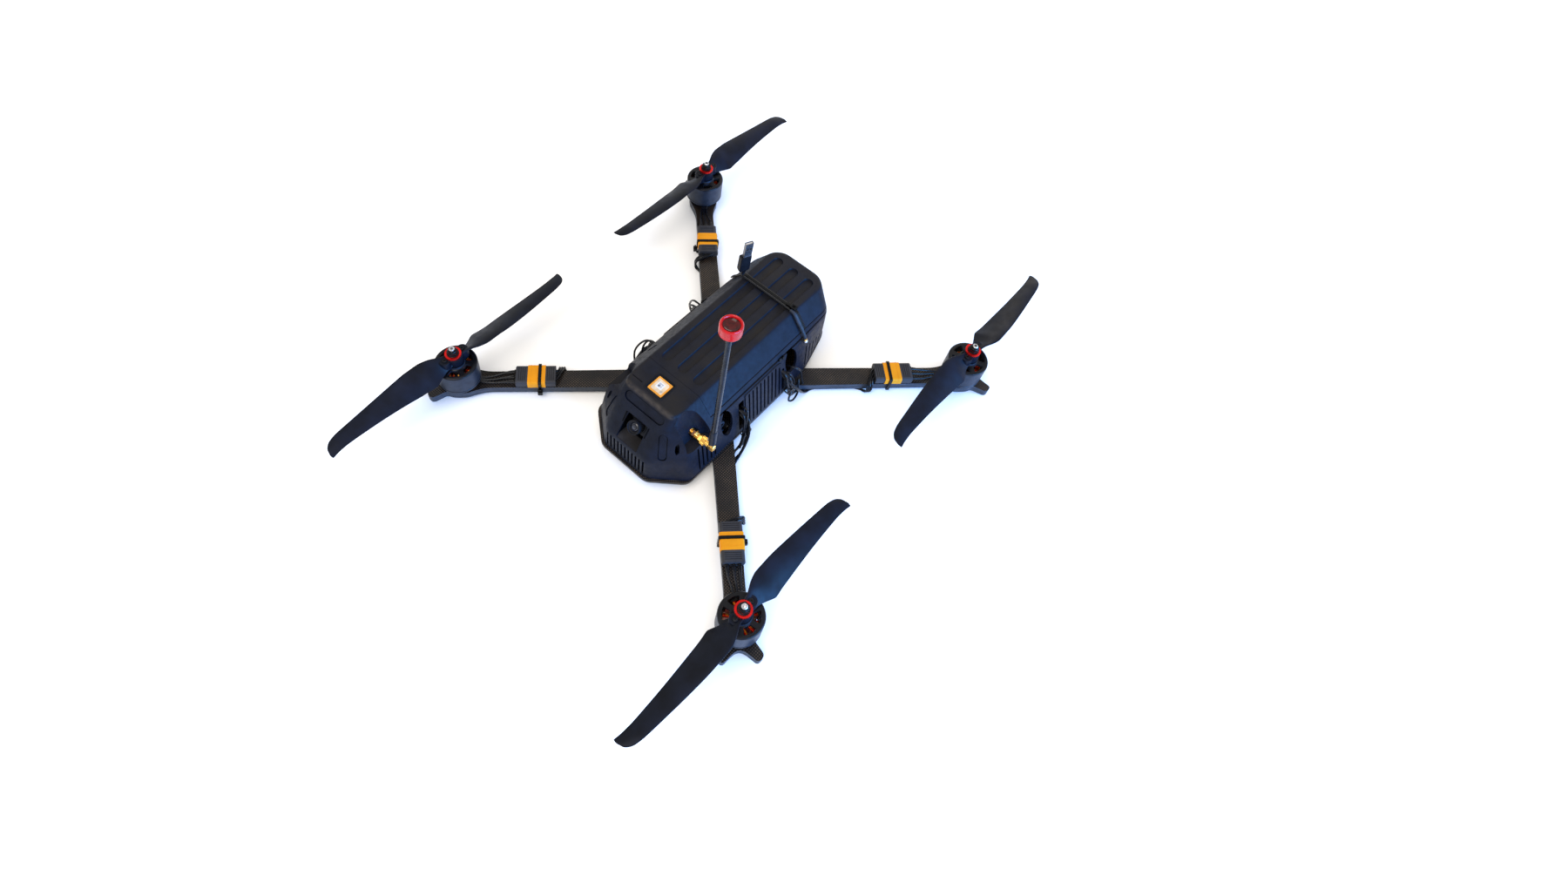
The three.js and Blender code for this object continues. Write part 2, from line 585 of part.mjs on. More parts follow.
// ---- video antenna on its screw socket ----------------------------------------------------------
function addAntenna() {
  const socket = new THREE.Group();
  socket.position.copy(SMA);
  socket.rotation.y = Math.PI / 2;
  drone.add(socket);
  const jack = turned([[0, -8], [3.1, -8], [3.1, 6.4], [0, 6.4]], 16);
  const flange = cylinder(4.6, 0.4, 2.6, 6);
  add('sma_jack', jack.add(flange), LOOK.gold, socket);

  const nut = cylinder(4, 6.8, 13.6, 6);
  const neck = cylinder(2.3, 13, ANTENNA_X - SMA.x - 3, 12);
  add('antenna_nut', nut.add(neck), LOOK.gold, socket);

  const elbow = join([
    box([ANTENNA_X - 2.7, SMA.y - 2.7, SMA.z - 3.2], [ANTENNA_X + 2.7, SMA.y + 2.7, SMA.z + 3.2]),
    cylinder(2.4, SMA.z + 3, SMA.z + 6.5, 12, ANTENNA_X, SMA.y),
  ]);
  add('antenna_elbow', elbow, LOOK.gold);
  const stem = turned([[0, SMA.z + 6.8], [3.1, SMA.z + 6.8], [3.1, SMA.z + 26], [2.4, SMA.z + 28],
    [2.1, CAP_BOTTOM - 0.3], [0, CAP_BOTTOM - 0.3]], 14).translate([ANTENNA_X, SMA.y, 0]);
  add('antenna_stem', stem, LOOK.lead);
  const cap = turned([[0, CAP_BOTTOM], [7.4, CAP_BOTTOM], [8.4, CAP_BOTTOM + 1], [8.4, ANTENNA_TOP - 1.1],
    [7.8, ANTENNA_TOP], [6.5, ANTENNA_TOP - 0.5], [4.5, ANTENNA_TOP - 2.4], [0, ANTENNA_TOP - 3]], 20)
    .translate([ANTENNA_X, SMA.y, 0]);
  add('antenna_cap', cap, LOOK.redCap);
}

// ---- charging plug, its lead and the zip tie over the lid ---------------------------------------
const STRAP = { front: 59.4, width: 3.6, thick: 1.4 };
const LEAD_Y = 57.6;
const LEAD_RADIUS = 1.1;
const PLUG_FOOT = new THREE.Vector3(-30, 59, 86);
const PLUG_LEAN = THREE.MathUtils.degToRad(3);
const PLUG_TURN = THREE.MathUtils.degToRad(68);

function addStrap() {
  const edge = [[-41.8, SPLIT_Z + 2.6], [-29.6, TOP_Z + GAP], [29.6, TOP_Z + GAP], [41.8, SPLIT_Z + 2.6]];
  const outer = edge.map(([x, z]) => [x * 1.03, z + STRAP.thick]).reverse();
  const geometry = new THREE.ExtrudeGeometry(shapeOf(edge.concat(outer)), {
    depth: STRAP.width, bevelEnabled: false,
  });
  geometry.rotateX(Math.PI / 2);
  geometry.translate(0, STRAP.front + STRAP.width, 0);
  const head = box([24.5, STRAP.front - 0.4, TOP_Z + GAP],
    [29.5, STRAP.front + STRAP.width + 0.6, TOP_Z + GAP + 3.4]);
  add('lid_tie', solid(geometry).add(head), LOOK.tie);
}

function addChargePlug() {
  const over = TOP_Z + GAP + LEAD_RADIUS + 0.1;
  const route = [[-30.2, 58.5, 85.1], [-30.3, 58, 84.3], [-29.4, LEAD_Y, 83.7], [-25, LEAD_Y, over],
    [0, LEAD_Y, over], [25, LEAD_Y, over], [31.6, LEAD_Y, 81.9], [37.2, LEAD_Y, 75.6],
    [43, LEAD_Y, 69], [46.4, LEAD_Y, 64.4], [47.6, LEAD_Y, 62]];
  add('charge_lead', tube(route, LEAD_RADIUS, 34, 6), LOOK.lead);
  const ball = new THREE.SphereGeometry(2.1, 10, 6);
  ball.translate(48.7, LEAD_Y, 59.2);
  add('lead_tip', solid(ball), LOOK.steel);

  const plug = new THREE.Group();
  plug.position.copy(PLUG_FOOT);
  plug.rotation.set(-PLUG_LEAN, 0, PLUG_TURN);
  drone.add(plug);
  const grip = box([-5.9, -2.7, 3.6], [4.5, 3.1, 22]);
  const neck = turned([[0, 0], [1.6, 0], [2.4, 3.8], [0, 3.8]], 10);
  const shell = box([-3.6, -1.7, 21.8], [4.2, 1.6, 37.6]);
  const mouth = box([-3.2, -1.3, 24], [3.8, 1.2, 38]);
  const tongue = box([-2.8, -1.3, 23.5], [3.4, -0.1, 36.8]);
  add('usb_plug', join([grip, neck, shell.subtract(mouth), tongue]), LOOK.tie, plug);
}

// ---- what the shell holds -------------------------------------------------------------------------
const BOARD = { half: 18, y: -30, post: 15.2 };
const BATTERY = { half: 31, front: -6, rear: 92, height: 44 };

function addInside() {
  const floor = SHELL_BOTTOM;
  const { half, y, post } = BOARD;
  const posts = [[-post, -post], [post, -post], [-post, post], [post, post]];
  add('flight_stack', join([
    box([-half, y - half, floor + 4], [half, y + half, floor + 6]),
    box([-12, y - 12, floor + 5.8], [12, y + 12, floor + 9]),
    box([-half, y - half, floor + 12], [half, y + half, floor + 13.6]),
    ...posts.map(([dx, dy]) => cylinder(1.8, floor, floor + 16, 6, dx, y + dy)),
  ]), LOOK.board);
  add('video_transmitter', box([-16, -72, floor], [16, -54, floor + 12]), LOOK.battery);
  const top = floor + BATTERY.height;
  add('battery', box([-BATTERY.half, BATTERY.front, floor], [BATTERY.half, BATTERY.rear, top]),
    LOOK.battery);
}

// ---- assembly ---------------------------------------------------------------------------------------
const CORNERS = [
  { name: 'fl', x: 1, y: -1, spin: 1, leadSide: 1 },
  { name: 'fr', x: -1, y: -1, spin: -1, leadSide: -1 },
  { name: 'rl', x: 1, y: 1, spin: -1, leadSide: -1 },
  { name: 'rr', x: -1, y: 1, spin: 1, leadSide: 1 },
];

addPlates();
for (const corner of CORNERS) {
  corner.along = new THREE.Group();
  corner.along.rotation.z = Math.atan2(corner.y * MOTOR_Y, corner.x * MOTOR_X);
  corner.hub = new THREE.Group();
  corner.hub.position.set(corner.x * MOTOR_X, corner.y * MOTOR_Y, 0);
  drone.add(corner.along, corner.hub);
  addArm(corner);
  addStator(corner);
  addBell(corner);
  addPropeller(corner);
  addPropFixings(corner);
  addConnector(corner);
  addMotorLeads(corner);
  addSpeedLeads(corner);
}
addShell();
addPatch();
addCamera();
addAntenna();
addStrap();
addChargePlug();
addInside();

export default drone;
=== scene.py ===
"""Ten-inch quadcopter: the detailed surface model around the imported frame.

Shapes are written in millimetres and scaled to metres. +Z is up and the nose points along -Y.
"""
import math
import random

import bmesh
import bpy
from mathutils import Matrix, Vector


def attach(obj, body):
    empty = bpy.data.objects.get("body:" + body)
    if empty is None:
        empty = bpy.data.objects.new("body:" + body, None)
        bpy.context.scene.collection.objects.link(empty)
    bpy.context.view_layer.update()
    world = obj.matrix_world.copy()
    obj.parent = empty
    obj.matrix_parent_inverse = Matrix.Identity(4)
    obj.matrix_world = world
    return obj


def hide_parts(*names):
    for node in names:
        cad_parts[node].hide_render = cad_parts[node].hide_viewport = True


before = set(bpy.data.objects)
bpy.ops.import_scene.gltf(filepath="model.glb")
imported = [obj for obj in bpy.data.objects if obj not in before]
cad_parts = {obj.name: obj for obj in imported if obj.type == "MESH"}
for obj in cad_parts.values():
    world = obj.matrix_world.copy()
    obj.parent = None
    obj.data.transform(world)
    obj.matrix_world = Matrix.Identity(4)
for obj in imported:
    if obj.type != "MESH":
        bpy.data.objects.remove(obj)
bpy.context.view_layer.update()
MM = 0.001
PI = math.pi
LIGHT_AIM = Vector((0, 0, 0.03))


# ---- camera, floor and light
def place_camera():
    azimuth, elevation, roll = (math.radians(a) for a in (33.72, 56.08, 8.88))
    right = Vector((math.cos(azimuth), math.sin(azimuth), 0))
    back = Vector((math.sin(azimuth) * math.cos(elevation), -math.cos(azimuth) * math.cos(elevation),
                   math.sin(elevation)))
    up = back.cross(right)
    across = math.cos(roll) * right + math.sin(roll) * up
    upright = -math.sin(roll) * right + math.cos(roll) * up
    data = bpy.data.cameras.new("camera")
    data.sensor_width = 36
    data.lens = 19.56
    data.shift_x = 0.0416
    data.shift_y = -0.0424
    data.clip_start = 0.01
    camera = bpy.data.objects.new("camera", data)
    camera.matrix_world = Matrix.Translation((0.24386, -0.36444, 0.66782)) @ Matrix(
        (across, upright, back)).transposed().to_4x4()
    bpy.context.scene.collection.objects.link(camera)
    bpy.context.scene.camera = camera


def add_light(name, size, power, color, at):
    data = bpy.data.lights.new(name, "AREA")
    data.shape = "RECTANGLE"
    data.size, data.size_y = size
    data.energy = power
    data.color = color
    light = bpy.data.objects.new(name, data)
    light.location = at
    light.rotation_euler = (LIGHT_AIM - Vector(at)).to_track_quat("-Z", "Y").to_euler()
    bpy.context.scene.collection.objects.link(light)


def light_scene():
    world = bpy.data.worlds.new("studio")
    bpy.context.scene.world = world
    world.use_nodes = True
    background = world.node_tree.nodes["Background"]
    background.inputs["Color"].default_value = (1, 0.985, 0.97, 1)
    background.inputs["Strength"].default_value = 1.0
    add_light("key", (1.2, 1.2), 22, (1, 0.93, 0.84), (0.1, -1.1, 1.8))
    add_light("sky", (1.8, 0.8), 125, (0.08, 0.38, 1), (1.9, 0.1, 0.5))
    add_light("rim", (1.2, 0.6), 8, (1, 0.93, 0.85), (-0.6, 1.8, 0.8))


place_camera()
light_scene()
bpy.context.scene.view_settings.view_transform = "Standard"


# ---- materials
class Shader:
    """A procedural material, its coordinates in millimetres of the object's own space."""

    def __init__(self, name, color, rough, metal=0.0, **sockets):
        self.mat = bpy.data.materials.new(name)
        self.mat.use_nodes = True
        self.tree = self.mat.node_tree
        self.bsdf = self.tree.nodes["Principled BSDF"]
        self.set("Base Color", (*color, 1))
        self.set("Roughness", rough)
        self.set("Metallic", metal)
        for socket, value in sockets.items():
            self.set(socket.replace("_", " ").title().replace("Ior", "IOR"), value)
        coords = self.tree.nodes.new("ShaderNodeTexCoord")
        self.place = self.node("ShaderNodeMapping", Vector=coords.outputs["Object"], Scale=(1000, 1000, 1000))

    def set(self, socket, value):
        self.bsdf.inputs[socket].default_value = value

    def node(self, kind, out=0, **inputs):
        node = self.tree.nodes.new(kind)
        for key, value in inputs.items():
            if key.startswith("p_"):
                setattr(node, key[2:], value)
                continue
            socket = node.inputs[int(key[1:])] if key[0] == "i" and key[1:].isdigit() else node.inputs[key]
            if isinstance(value, bpy.types.NodeSocket):
                self.tree.links.new(value, socket)
            else:
                socket.default_value = value
        return node.outputs[out]

    def math(self, operation, a, b=0.0):
        return self.node("ShaderNodeMath", p_operation=operation, i0=a, i1=b)

    def turn(self, degrees):
        return self.node("ShaderNodeMapping", Vector=self.place, Rotation=(0, 0, math.radians(degrees)))

    def noise(self, size, detail=3.0):
        return self.node("ShaderNodeTexNoise", Vector=self.place, Scale=1 / size, Detail=detail)

    def ramp(self, factor, stops):
        node = self.tree.nodes.new("ShaderNodeValToRGB")
        self.tree.links.new(factor, node.inputs[0])
        elements = node.color_ramp.elements
        while len(elements) < len(stops):
            elements.new(0.5)
        for element, (at, color) in zip(elements, stops):
            element.position = at
            element.color = (*color, 1)
        return node.outputs[0]

    def span(self, factor, low, high):
        return self.node("ShaderNodeMapRange", Value=factor, i1=0.3, i2=0.7, i3=low, i4=high)

    def drive(self, socket, value):
        self.tree.links.new(value, self.bsdf.inputs[socket])

    def bump(self, height, depth, under=None):
        extra = {} if under is None else {"Normal": under}
        return self.node("ShaderNodeBump", Height=height, Distance=depth * MM, Strength=1.0, **extra)


def finish(name, color, rough, vary=1.35, patch=14.0, grain=0.35, depth=0.03, spread=0.08,
           specular_ior_level=0.13, **sockets):
    """A moulded, coated or anodised surface: patches of colour and gloss over a fine grain."""
    shader = Shader(name, color, rough, specular_ior_level=specular_ior_level, **sockets)
    cloud = shader.noise(patch, 4.0)
    light = tuple(min(1, c * vary) for c in color)
    dark = tuple(c / vary for c in color)
    shader.drive("Base Color", shader.ramp(cloud, [(0.35, dark), (0.65, light)]))
    shader.drive("Roughness", shader.span(shader.noise(patch * 0.4, 5.0), rough - spread, rough + spread))
    shader.drive("Normal", shader.bump(shader.noise(grain, 2.0), depth))
    return shader.mat


def shell_finish():
    """Matt moulded nylon: fine grain, a warm tone where it faces up (dust and painted top light), and a
    lighter band along the edge above the nose slope (wear and a painted edge highlight).
    """
    shader = Shader("body_shell", (0.003, 0.0046, 0.0102), 0.5, specular_ior_level=0.13)
    cloud = shader.noise(9, 4.0)
    base = shader.ramp(cloud, [(0.35, (0.002, 0.0031, 0.0075)), (0.65, (0.0036, 0.0056, 0.0128))])
    # warm tone on faces that point up: dust, and painted top light
    facing_up = shader.node("ShaderNodeSeparateXYZ", out=2,
                            Vector=shader.node("ShaderNodeNewGeometry", out=1))
    up = shader.node("ShaderNodeMapRange", Value=facing_up, i1=0.8, i2=0.98)
    dust_and_top_light = shader.math("MULTIPLY", up, shader.span(shader.noise(26, 5.0), 0.15, 1.0))
    y = shader.node("ShaderNodeSeparateXYZ", out=1, Vector=shader.place)
    z = shader.node("ShaderNodeSeparateXYZ", out=2, Vector=shader.place)
    # lighter warm band along the edge above the nose slope: wear, and a painted edge highlight
    near = shader.math("ABSOLUTE", shader.math("ADD", y, 94.6))
    wear_and_edge_highlight = shader.node("ShaderNodeMapRange", Value=near, i1=3.6, i2=0.6)
    wear_and_edge_highlight = shader.math("MULTIPLY", wear_and_edge_highlight, shader.node("ShaderNodeMapRange", Value=z, i1=78, i2=80))
    wear_and_edge_highlight = shader.math("MULTIPLY", wear_and_edge_highlight, shader.span(shader.noise(5, 5.0), 0.25, 1.0))
    dusted_and_top_lit = shader.node("ShaderNodeMix", out=2, p_data_type="RGBA", i0=dust_and_top_light, i6=base,
                        i7=(0.0115, 0.0098, 0.0095, 1))
    tone = shader.node("ShaderNodeMix", out=2, p_data_type="RGBA", i0=wear_and_edge_highlight, i6=dusted_and_top_lit,
                       i7=(0.05, 0.041, 0.034, 1))
    shader.drive("Base Color", tone)
    shader.drive("Roughness", shader.span(shader.noise(3.6, 5.0), 0.42, 0.58))
    grain = shader.bump(shader.noise(0.5, 2.0), 0.06)
    shader.drive("Normal", shader.bump(shader.noise(2.2, 4.0), 0.05, under=grain))
    return shader.mat


def carbon_face(name, degrees, cell=1.3):
    """Plain-weave carbon under clear resin; the crowns of the tows are lightened to brown-gold as a painted
    glint, shown in random patches.
    """
    shader = Shader(name, (0.02, 0.018, 0.016), 0.4, specular_ior_level=0.18, coat_weight=0.12,
                    coat_roughness=0.2)
    place = shader.node("ShaderNodeMapping", Vector=shader.turn(degrees), Scale=(1 / cell, 1 / cell, 1))
    x = shader.node("ShaderNodeSeparateXYZ", Vector=place)
    y = shader.node("ShaderNodeSeparateXYZ", out=1, Vector=place)
    pillow = None
    for axis in (x, y):
        wave = shader.math("SINE", shader.math("MULTIPLY", axis, PI))
        pillow = wave if pillow is None else shader.math("MULTIPLY", pillow, wave)
    over = shader.math("MULTIPLY", shader.math("ADD", pillow, 1), 0.5)
    fibre = shader.node("ShaderNodeTexNoise", Vector=place, Scale=3.2, Detail=3.0)
    shade = shader.math("MULTIPLY", over, shader.span(fibre, 0.72, 1.2))
    # the weave pattern, its crowns lightened to brown-gold: a painted glint on the tows
    weave_glint = shader.ramp(shade, [(0.4, (0.0012, 0.0013, 0.0018)), (0.6, (0.01, 0.008, 0.007)),
                                (0.9, (0.13, 0.09, 0.06))])
    cloud = shader.span(shader.noise(22, 2.0), 0.12, 1.0)
    tone = shader.node("ShaderNodeMix", out=2, p_data_type="RGBA", i0=cloud, i6=(0.003, 0.003, 0.004, 1),
                       i7=weave_glint)
    shader.drive("Base Color", tone)
    shader.drive("Roughness", shader.span(shader.noise(6), 0.28, 0.46))
    shader.drive("Normal", shader.bump(over, 0.05))
    return shader.mat


def carbon_edge():
    """The cut edge of carbon plate: thin stacked plies, dusty grey."""
    shader = Shader("carbon_edge", (0.05, 0.06, 0.075), 0.5, specular_ior_level=0.25)
    flat = shader.node("ShaderNodeMapping", Vector=shader.place, Scale=(0.05, 0.05, 3.6))
    plies = shader.node("ShaderNodeTexNoise", Vector=flat, Scale=1.0, Detail=2.0)
    shader.drive("Base Color", shader.ramp(plies, [(0.36, (0.006, 0.008, 0.012)),
                                                   (0.64, (0.04, 0.05, 0.07))]))
    shader.drive("Roughness", shader.span(shader.noise(3), 0.4, 0.62))
    shader.drive("Normal", shader.bump(plies, 0.06))
    return shader.mat


def winding_wire():
    """Enamelled wire: turns of red and gold."""
    shader = Shader("winding_wire", (0.5, 0.06, 0.02), 0.28, 0.85, coat_weight=0.4, coat_roughness=0.1)
    turn = shader.noise(1.6, 1.0)
    shader.drive("Base Color", shader.ramp(turn, [(0.42, (0.5, 0.022, 0.012)), (0.52, (0.62, 0.06, 0.02)),
                                                  (0.62, (0.85, 0.48, 0.07))]))
    shader.drive("Normal", shader.bump(shader.noise(0.5, 1.0), 0.05))
    return shader.mat


def brushed(name, color, rough, metal=1.0, depth=0.02, stretch=(0.3, 0.3, 6.0), **sockets):
    """Turned or brushed metal, its scratches running round the axis."""
    shader = Shader(name, color, rough, metal, **sockets)
    fine = shader.node("ShaderNodeMapping", Vector=shader.place, Scale=stretch)
    lines = shader.node("ShaderNodeTexNoise", Vector=fine, Scale=1.5, Detail=4.0)
    light = tuple(min(1, c * 1.15) for c in color)
    shader.drive("Base Color", shader.ramp(shader.noise(5),
                                           [(0.35, tuple(c * 0.8 for c in color)), (0.65, light)]))
    shader.drive("Roughness", shader.span(lines, rough - 0.06, rough + 0.1))
    shader.drive("Normal", shader.bump(lines, depth))
    return shader.mat


def circuit(name):
    """A green-black board with copper tracks under solder mask."""
    shader = Shader(name, (0.008, 0.03, 0.016), 0.4, coat_weight=0.3, coat_roughness=0.2)
    tracks = shader.node("ShaderNodeTexBrick", Vector=shader.place, Scale=0.35, i1=(0.004, 0.018, 0.01, 1),
                         i2=(0.006, 0.03, 0.016, 1), i3=(0.02, 0.075, 0.035, 1))
    shader.drive("Base Color", tracks)
    shader.drive("Normal", shader.bump(shader.noise(0.8), 0.04))
    return shader.mat


def ceramic():
    shader = Shader("patch_ceramic", (0.85, 0.42, 0.07), 0.5, specular_ior_level=0.2)
    speck = shader.noise(0.7, 4.0)
    shader.drive("Base Color", shader.ramp(speck, [(0.3, (0.5, 0.19, 0.018)), (0.55, (0.64, 0.26, 0.03)),
                                                   (0.8, (0.75, 0.4, 0.09))]))
    shader.drive("Normal", shader.bump(speck, 0.04))
    return shader.mat


SHELL = shell_finish()
# a darker, duller copy of the shell colour: painted shade for the insides of vents and recesses
SHELL_PAINTED_SHADE = finish("shell_painted_shade", (0.0012, 0.0014, 0.002), 0.8, grain=0.6, specular_ior_level=0.05)
WINDOW_FLOOR = finish("window_floor", (0.02, 0.019, 0.021), 0.6, grain=0.6, depth=0.04)
PLATE_EDGE = finish("plate_edge", (0.0016, 0.0018, 0.0025), 0.4, patch=3, grain=0.4, specular_ior_level=0.3)
CARBON_ARM = carbon_face("carbon_arm", 45)
CARBON_PLATE = carbon_face("carbon_plate", 0)
CARBON_EDGE = carbon_edge()
PROP = finish("propeller", (0.0024, 0.0036, 0.0082), 0.44, vary=1.5, patch=16, grain=0.8, depth=0.03,
              specular_ior_level=0.13)
BELL = brushed("motor_bell", (0.0035, 0.004, 0.006), 0.3, 0.25, stretch=(0.4, 0.4, 5),
               specular_ior_level=0.25)
BELL_SIDE = brushed("motor_side", (0.022, 0.028, 0.042), 0.42, 0.5, stretch=(0.3, 0.3, 5),
                    specular_ior_level=0.25)
WINDING = winding_wire()
LAMINATION = brushed("stator_steel", (0.02, 0.018, 0.018), 0.45, 0.6, stretch=(0.2, 0.2, 8))
MAGNET = brushed("magnet", (0.2, 0.2, 0.21), 0.3)
RED_RING = brushed("red_ring", (0.6, 0.01, 0.008), 0.22, 0.8, stretch=(3, 3, 3))
BLACK_NUT = brushed("black_nut", (0.005, 0.005, 0.006), 0.3, 0.5, specular_ior_level=0.3)
STEEL = brushed("bright_steel", (0.52, 0.52, 0.54), 0.24)
SCREW = brushed("screw_steel", (0.014, 0.014, 0.016), 0.34, 0.7, specular_ior_level=0.3)
GOLD = brushed("gold_plate", (0.8, 0.47, 0.11), 0.22)
CAP_GREY = finish("connector_nylon", (0.03, 0.03, 0.034), 0.5, vary=1.15, grain=0.4)
AMBER = finish("connector_amber", (0.62, 0.235, 0.006), 0.42, vary=1.06, grain=0.5, depth=0.02)
TIE = finish("tie_nylon", (0.0012, 0.0013, 0.0017), 0.28, grain=0.6, depth=0.02, specular_ior_level=0.16)
STRAP_GREY = finish("tie_tail", (0.018, 0.021, 0.028), 0.4, grain=0.5)
WIRE = finish("wire_silicone", (0.0018, 0.0024, 0.0042), 0.3, patch=5, grain=0.5, depth=0.02,
              specular_ior_level=0.22)
JACKET = finish("antenna_jacket", (0.008, 0.0095, 0.013), 0.24, patch=8, grain=0.6, depth=0.02)
SLEEVE = finish("antenna_sleeve", (0.007, 0.009, 0.014), 0.4, grain=0.6, depth=0.03)
CAP_RED = finish("antenna_cap", (0.4, 0.0022, 0.0035), 0.3, vary=1.15, patch=3, grain=1.5, depth=0.03,
                 coat_weight=0.35, coat_roughness=0.08)
# the cap's concave top in a much darker red: painted shade in the dish
CAP_DISH_PAINTED_SHADE = finish("antenna_cap_dish_painted_shade", (0.045, 0.001, 0.0013), 0.2, vary=1.7, patch=2.5, grain=2, depth=0.05,
                  coat_weight=0.3, coat_roughness=0.08)
LENS_BODY = finish("camera_plastic", (0.011, 0.012, 0.016), 0.42, grain=0.5, depth=0.02)
LENS_GLASS = finish("lens_glass", (0.004, 0.006, 0.016), 0.06, patch=3, grain=3, depth=0.001, spread=0.02,
                    coat_weight=1.0,
                    coat_roughness=0.02)
CERAMIC = ceramic()
PATCH_METAL = brushed("patch_silver", (0.62, 0.47, 0.3), 0.5, 0.1, stretch=(1, 1, 1))
LABEL = finish("patch_label", (0.6, 0.59, 0.58), 0.55, vary=1.03, grain=0.4, depth=0.01)
LABEL_INK = finish("patch_ink", (0.16, 0.16, 0.18), 0.6, grain=0.4)
PLUG_BLACK = finish("plug_plastic", (0.006, 0.006, 0.008), 0.42, grain=0.6, depth=0.03)
PLUG_METAL = brushed("plug_metal", (0.2, 0.2, 0.22), 0.26, 0.9)
# a dark brownish gold for the jack's hex flange: painted shade on a gold-plated part
GOLD_PAINTED_SHADE = brushed("jack_nut_painted_shade", (0.09, 0.05, 0.03), 0.35)
BOARD = circuit("circuit_board")
CHIP = finish("chip", (0.008, 0.008, 0.009), 0.5, grain=0.4)
HEATSINK = brushed("transmitter_case", (0.09, 0.09, 0.1), 0.4, 0.8)
WRAP = finish("battery_wrap", (0.012, 0.014, 0.02), 0.35, patch=12, grain=5, depth=0.25, coat_weight=0.4,
              coat_roughness=0.2)
RUBBER = finish("patch_gasket", (0.006, 0.006, 0.007), 0.8, grain=1.2, depth=0.25)
YELLOW = finish("power_connector", (0.8, 0.5, 0.03), 0.45)
FLOOR = finish("floor", (0.95, 0.95, 0.95), 0.8, vary=1.01, patch=300, grain=4, depth=0.05)


# ---- shapes: every shape is (points in millimetres, faces)
def shift(x, y, z):
    return Matrix.Translation((x, y, z))


def rotate(angle, axis):
    return Matrix.Rotation(angle, 4, axis)


def catmull(points, per):
    """A smooth curve through the points, with per steps between two of them."""
    p = [Vector(q) for q in points]
    p = [2 * p[0] - p[1]] + p + [2 * p[-1] - p[-2]]
    curve = []
    for i in range(1, len(p) - 2):
        for k in range(per):
            t = k / per
            a, b, c, d = p[i - 1:i + 3]
            curve.append(0.5 * (2 * b + (c - a) * t + (2 * a - 5 * b + 4 * c - d) * t ** 2
                                + (3 * b - a - 3 * c + d) * t ** 3))
    curve.append(p[-2])
    return curve


def loft(rings):
    """Rings of equal length joined in turn, the first and last filled in."""
    count = len(rings[0])
    points = [tuple(q) for ring in rings for q in ring]
    faces = []
    for low in range(0, (len(rings) - 1) * count, count):
        for i in range(count):
            j = (i + 1) % count
            faces.append((low + i, low + j, low + count + j, low + count + i))
    faces.append(tuple(reversed(range(count))))
    faces.append(tuple(range((len(rings) - 1) * count, len(rings) * count)))
    return points, faces


def tangents_of(path):
    last = len(path) - 1
    return [(path[min(i + 1, last)] - path[max(i - 1, 0)]).normalized() for i in range(len(path))]


def swept_rings(path, section):
    """A section of (side, up) points carried along a path without twisting."""
    tangents = tangents_of(path)
    side = tangents[0].orthogonal().normalized()
    rings = []
    for at, along in zip(path, tangents):
        side = (side - along * side.dot(along)).normalized()
        up = along.cross(side)
        rings.append([at + a * side + b * up for a, b in section])
    return rings


def circle(radius, sides):
    return [(radius * math.cos(2 * PI * i / sides), radius * math.sin(2 * PI * i / sides))
            for i in range(sides)]


def tube(points, radius, sides=10, per=5):
    """A round wire with softened ends."""
    path = catmull(points, per)
    tangents = tangents_of(path)
    rings = swept_rings(path, circle(radius, sides))
    for end, inward in ((0, tangents[0]), (-1, -tangents[-1])):
        tip = [path[end] + (q - path[end]) * 0.6 - inward * radius * 0.35 for q in rings[end]]
        rings = [tip] + rings if end == 0 else rings + [tip]
    return loft(rings)


def lathe(profile, sides):
    """A closed outline of (radius, height) points turned about Z; points on the axis are shared."""
    points, faces, rows = [], [], []
    for r, z in profile:
        if r < 1e-6:
            points.append((0, 0, z))
            rows.append([len(points) - 1] * sides)
        else:
            rows.append(list(range(len(points), len(points) + sides)))
            points += [(x, y, z) for x, y in circle(r, sides)]
    for a, b in zip(rows, rows[1:] + rows[:1]):
        for i in range(sides):
            j = (i + 1) % sides
            face = tuple(dict.fromkeys((a[i], a[j], b[j], b[i])))
            if len(face) > 2:
                faces.append(face)
    return points, faces


def prism(outline, bottom, top):
    return loft([[(x, y, bottom) for x, y in outline], [(x, y, top) for x, y in outline]])


def block(low, high):
    (x0, y0, z0), (x1, y1, z1) = low, high
    return prism([(x0, y0), (x1, y0), (x1, y1), (x0, y1)], z0, z1)


def rounded(points, cuts, steps=4):
    """An outline with each corner replaced by a curve that starts cut before it and ends cut after it."""
    cuts = cuts if hasattr(cuts, "__len__") else [cuts] * len(points)
    outline = []
    for i, (corner, cut) in enumerate(zip(points, cuts)):
        here = Vector(corner)
        if not cut:
            outline.append(tuple(here))
            continue
        before, after = Vector(points[i - 1]) - here, Vector(points[(i + 1) % len(points)]) - here
        a = here + before.normalized() * min(cut, before.length * 0.49)
        b = here + after.normalized() * min(cut, after.length * 0.49)
        for k in range(steps + 1):
            t = k / steps
            outline.append(tuple((1 - t) ** 2 * a + 2 * t * (1 - t) * here + t * t * b))
    return outline


def slab(width, depth, cut, steps=4):
    """A rectangle with rounded corners about the origin."""
    x, y = width / 2, depth / 2
    return rounded([(-x, -y), (x, -y), (x, y), (-x, y)], cut, steps)


def stadium(half_length, half_width, steps=8):
    """A slot outline with round ends, along X."""
    inner = half_length - half_width
    right = [(inner + half_width * math.sin(PI * k / steps), -half_width * math.cos(PI * k / steps))
             for k in range(steps + 1)]
    return right + [(-x, -y) for x, y in right]


def mirror_x(points):
    return list(points) + [(-q[0], *q[1:]) for q in reversed(points)]


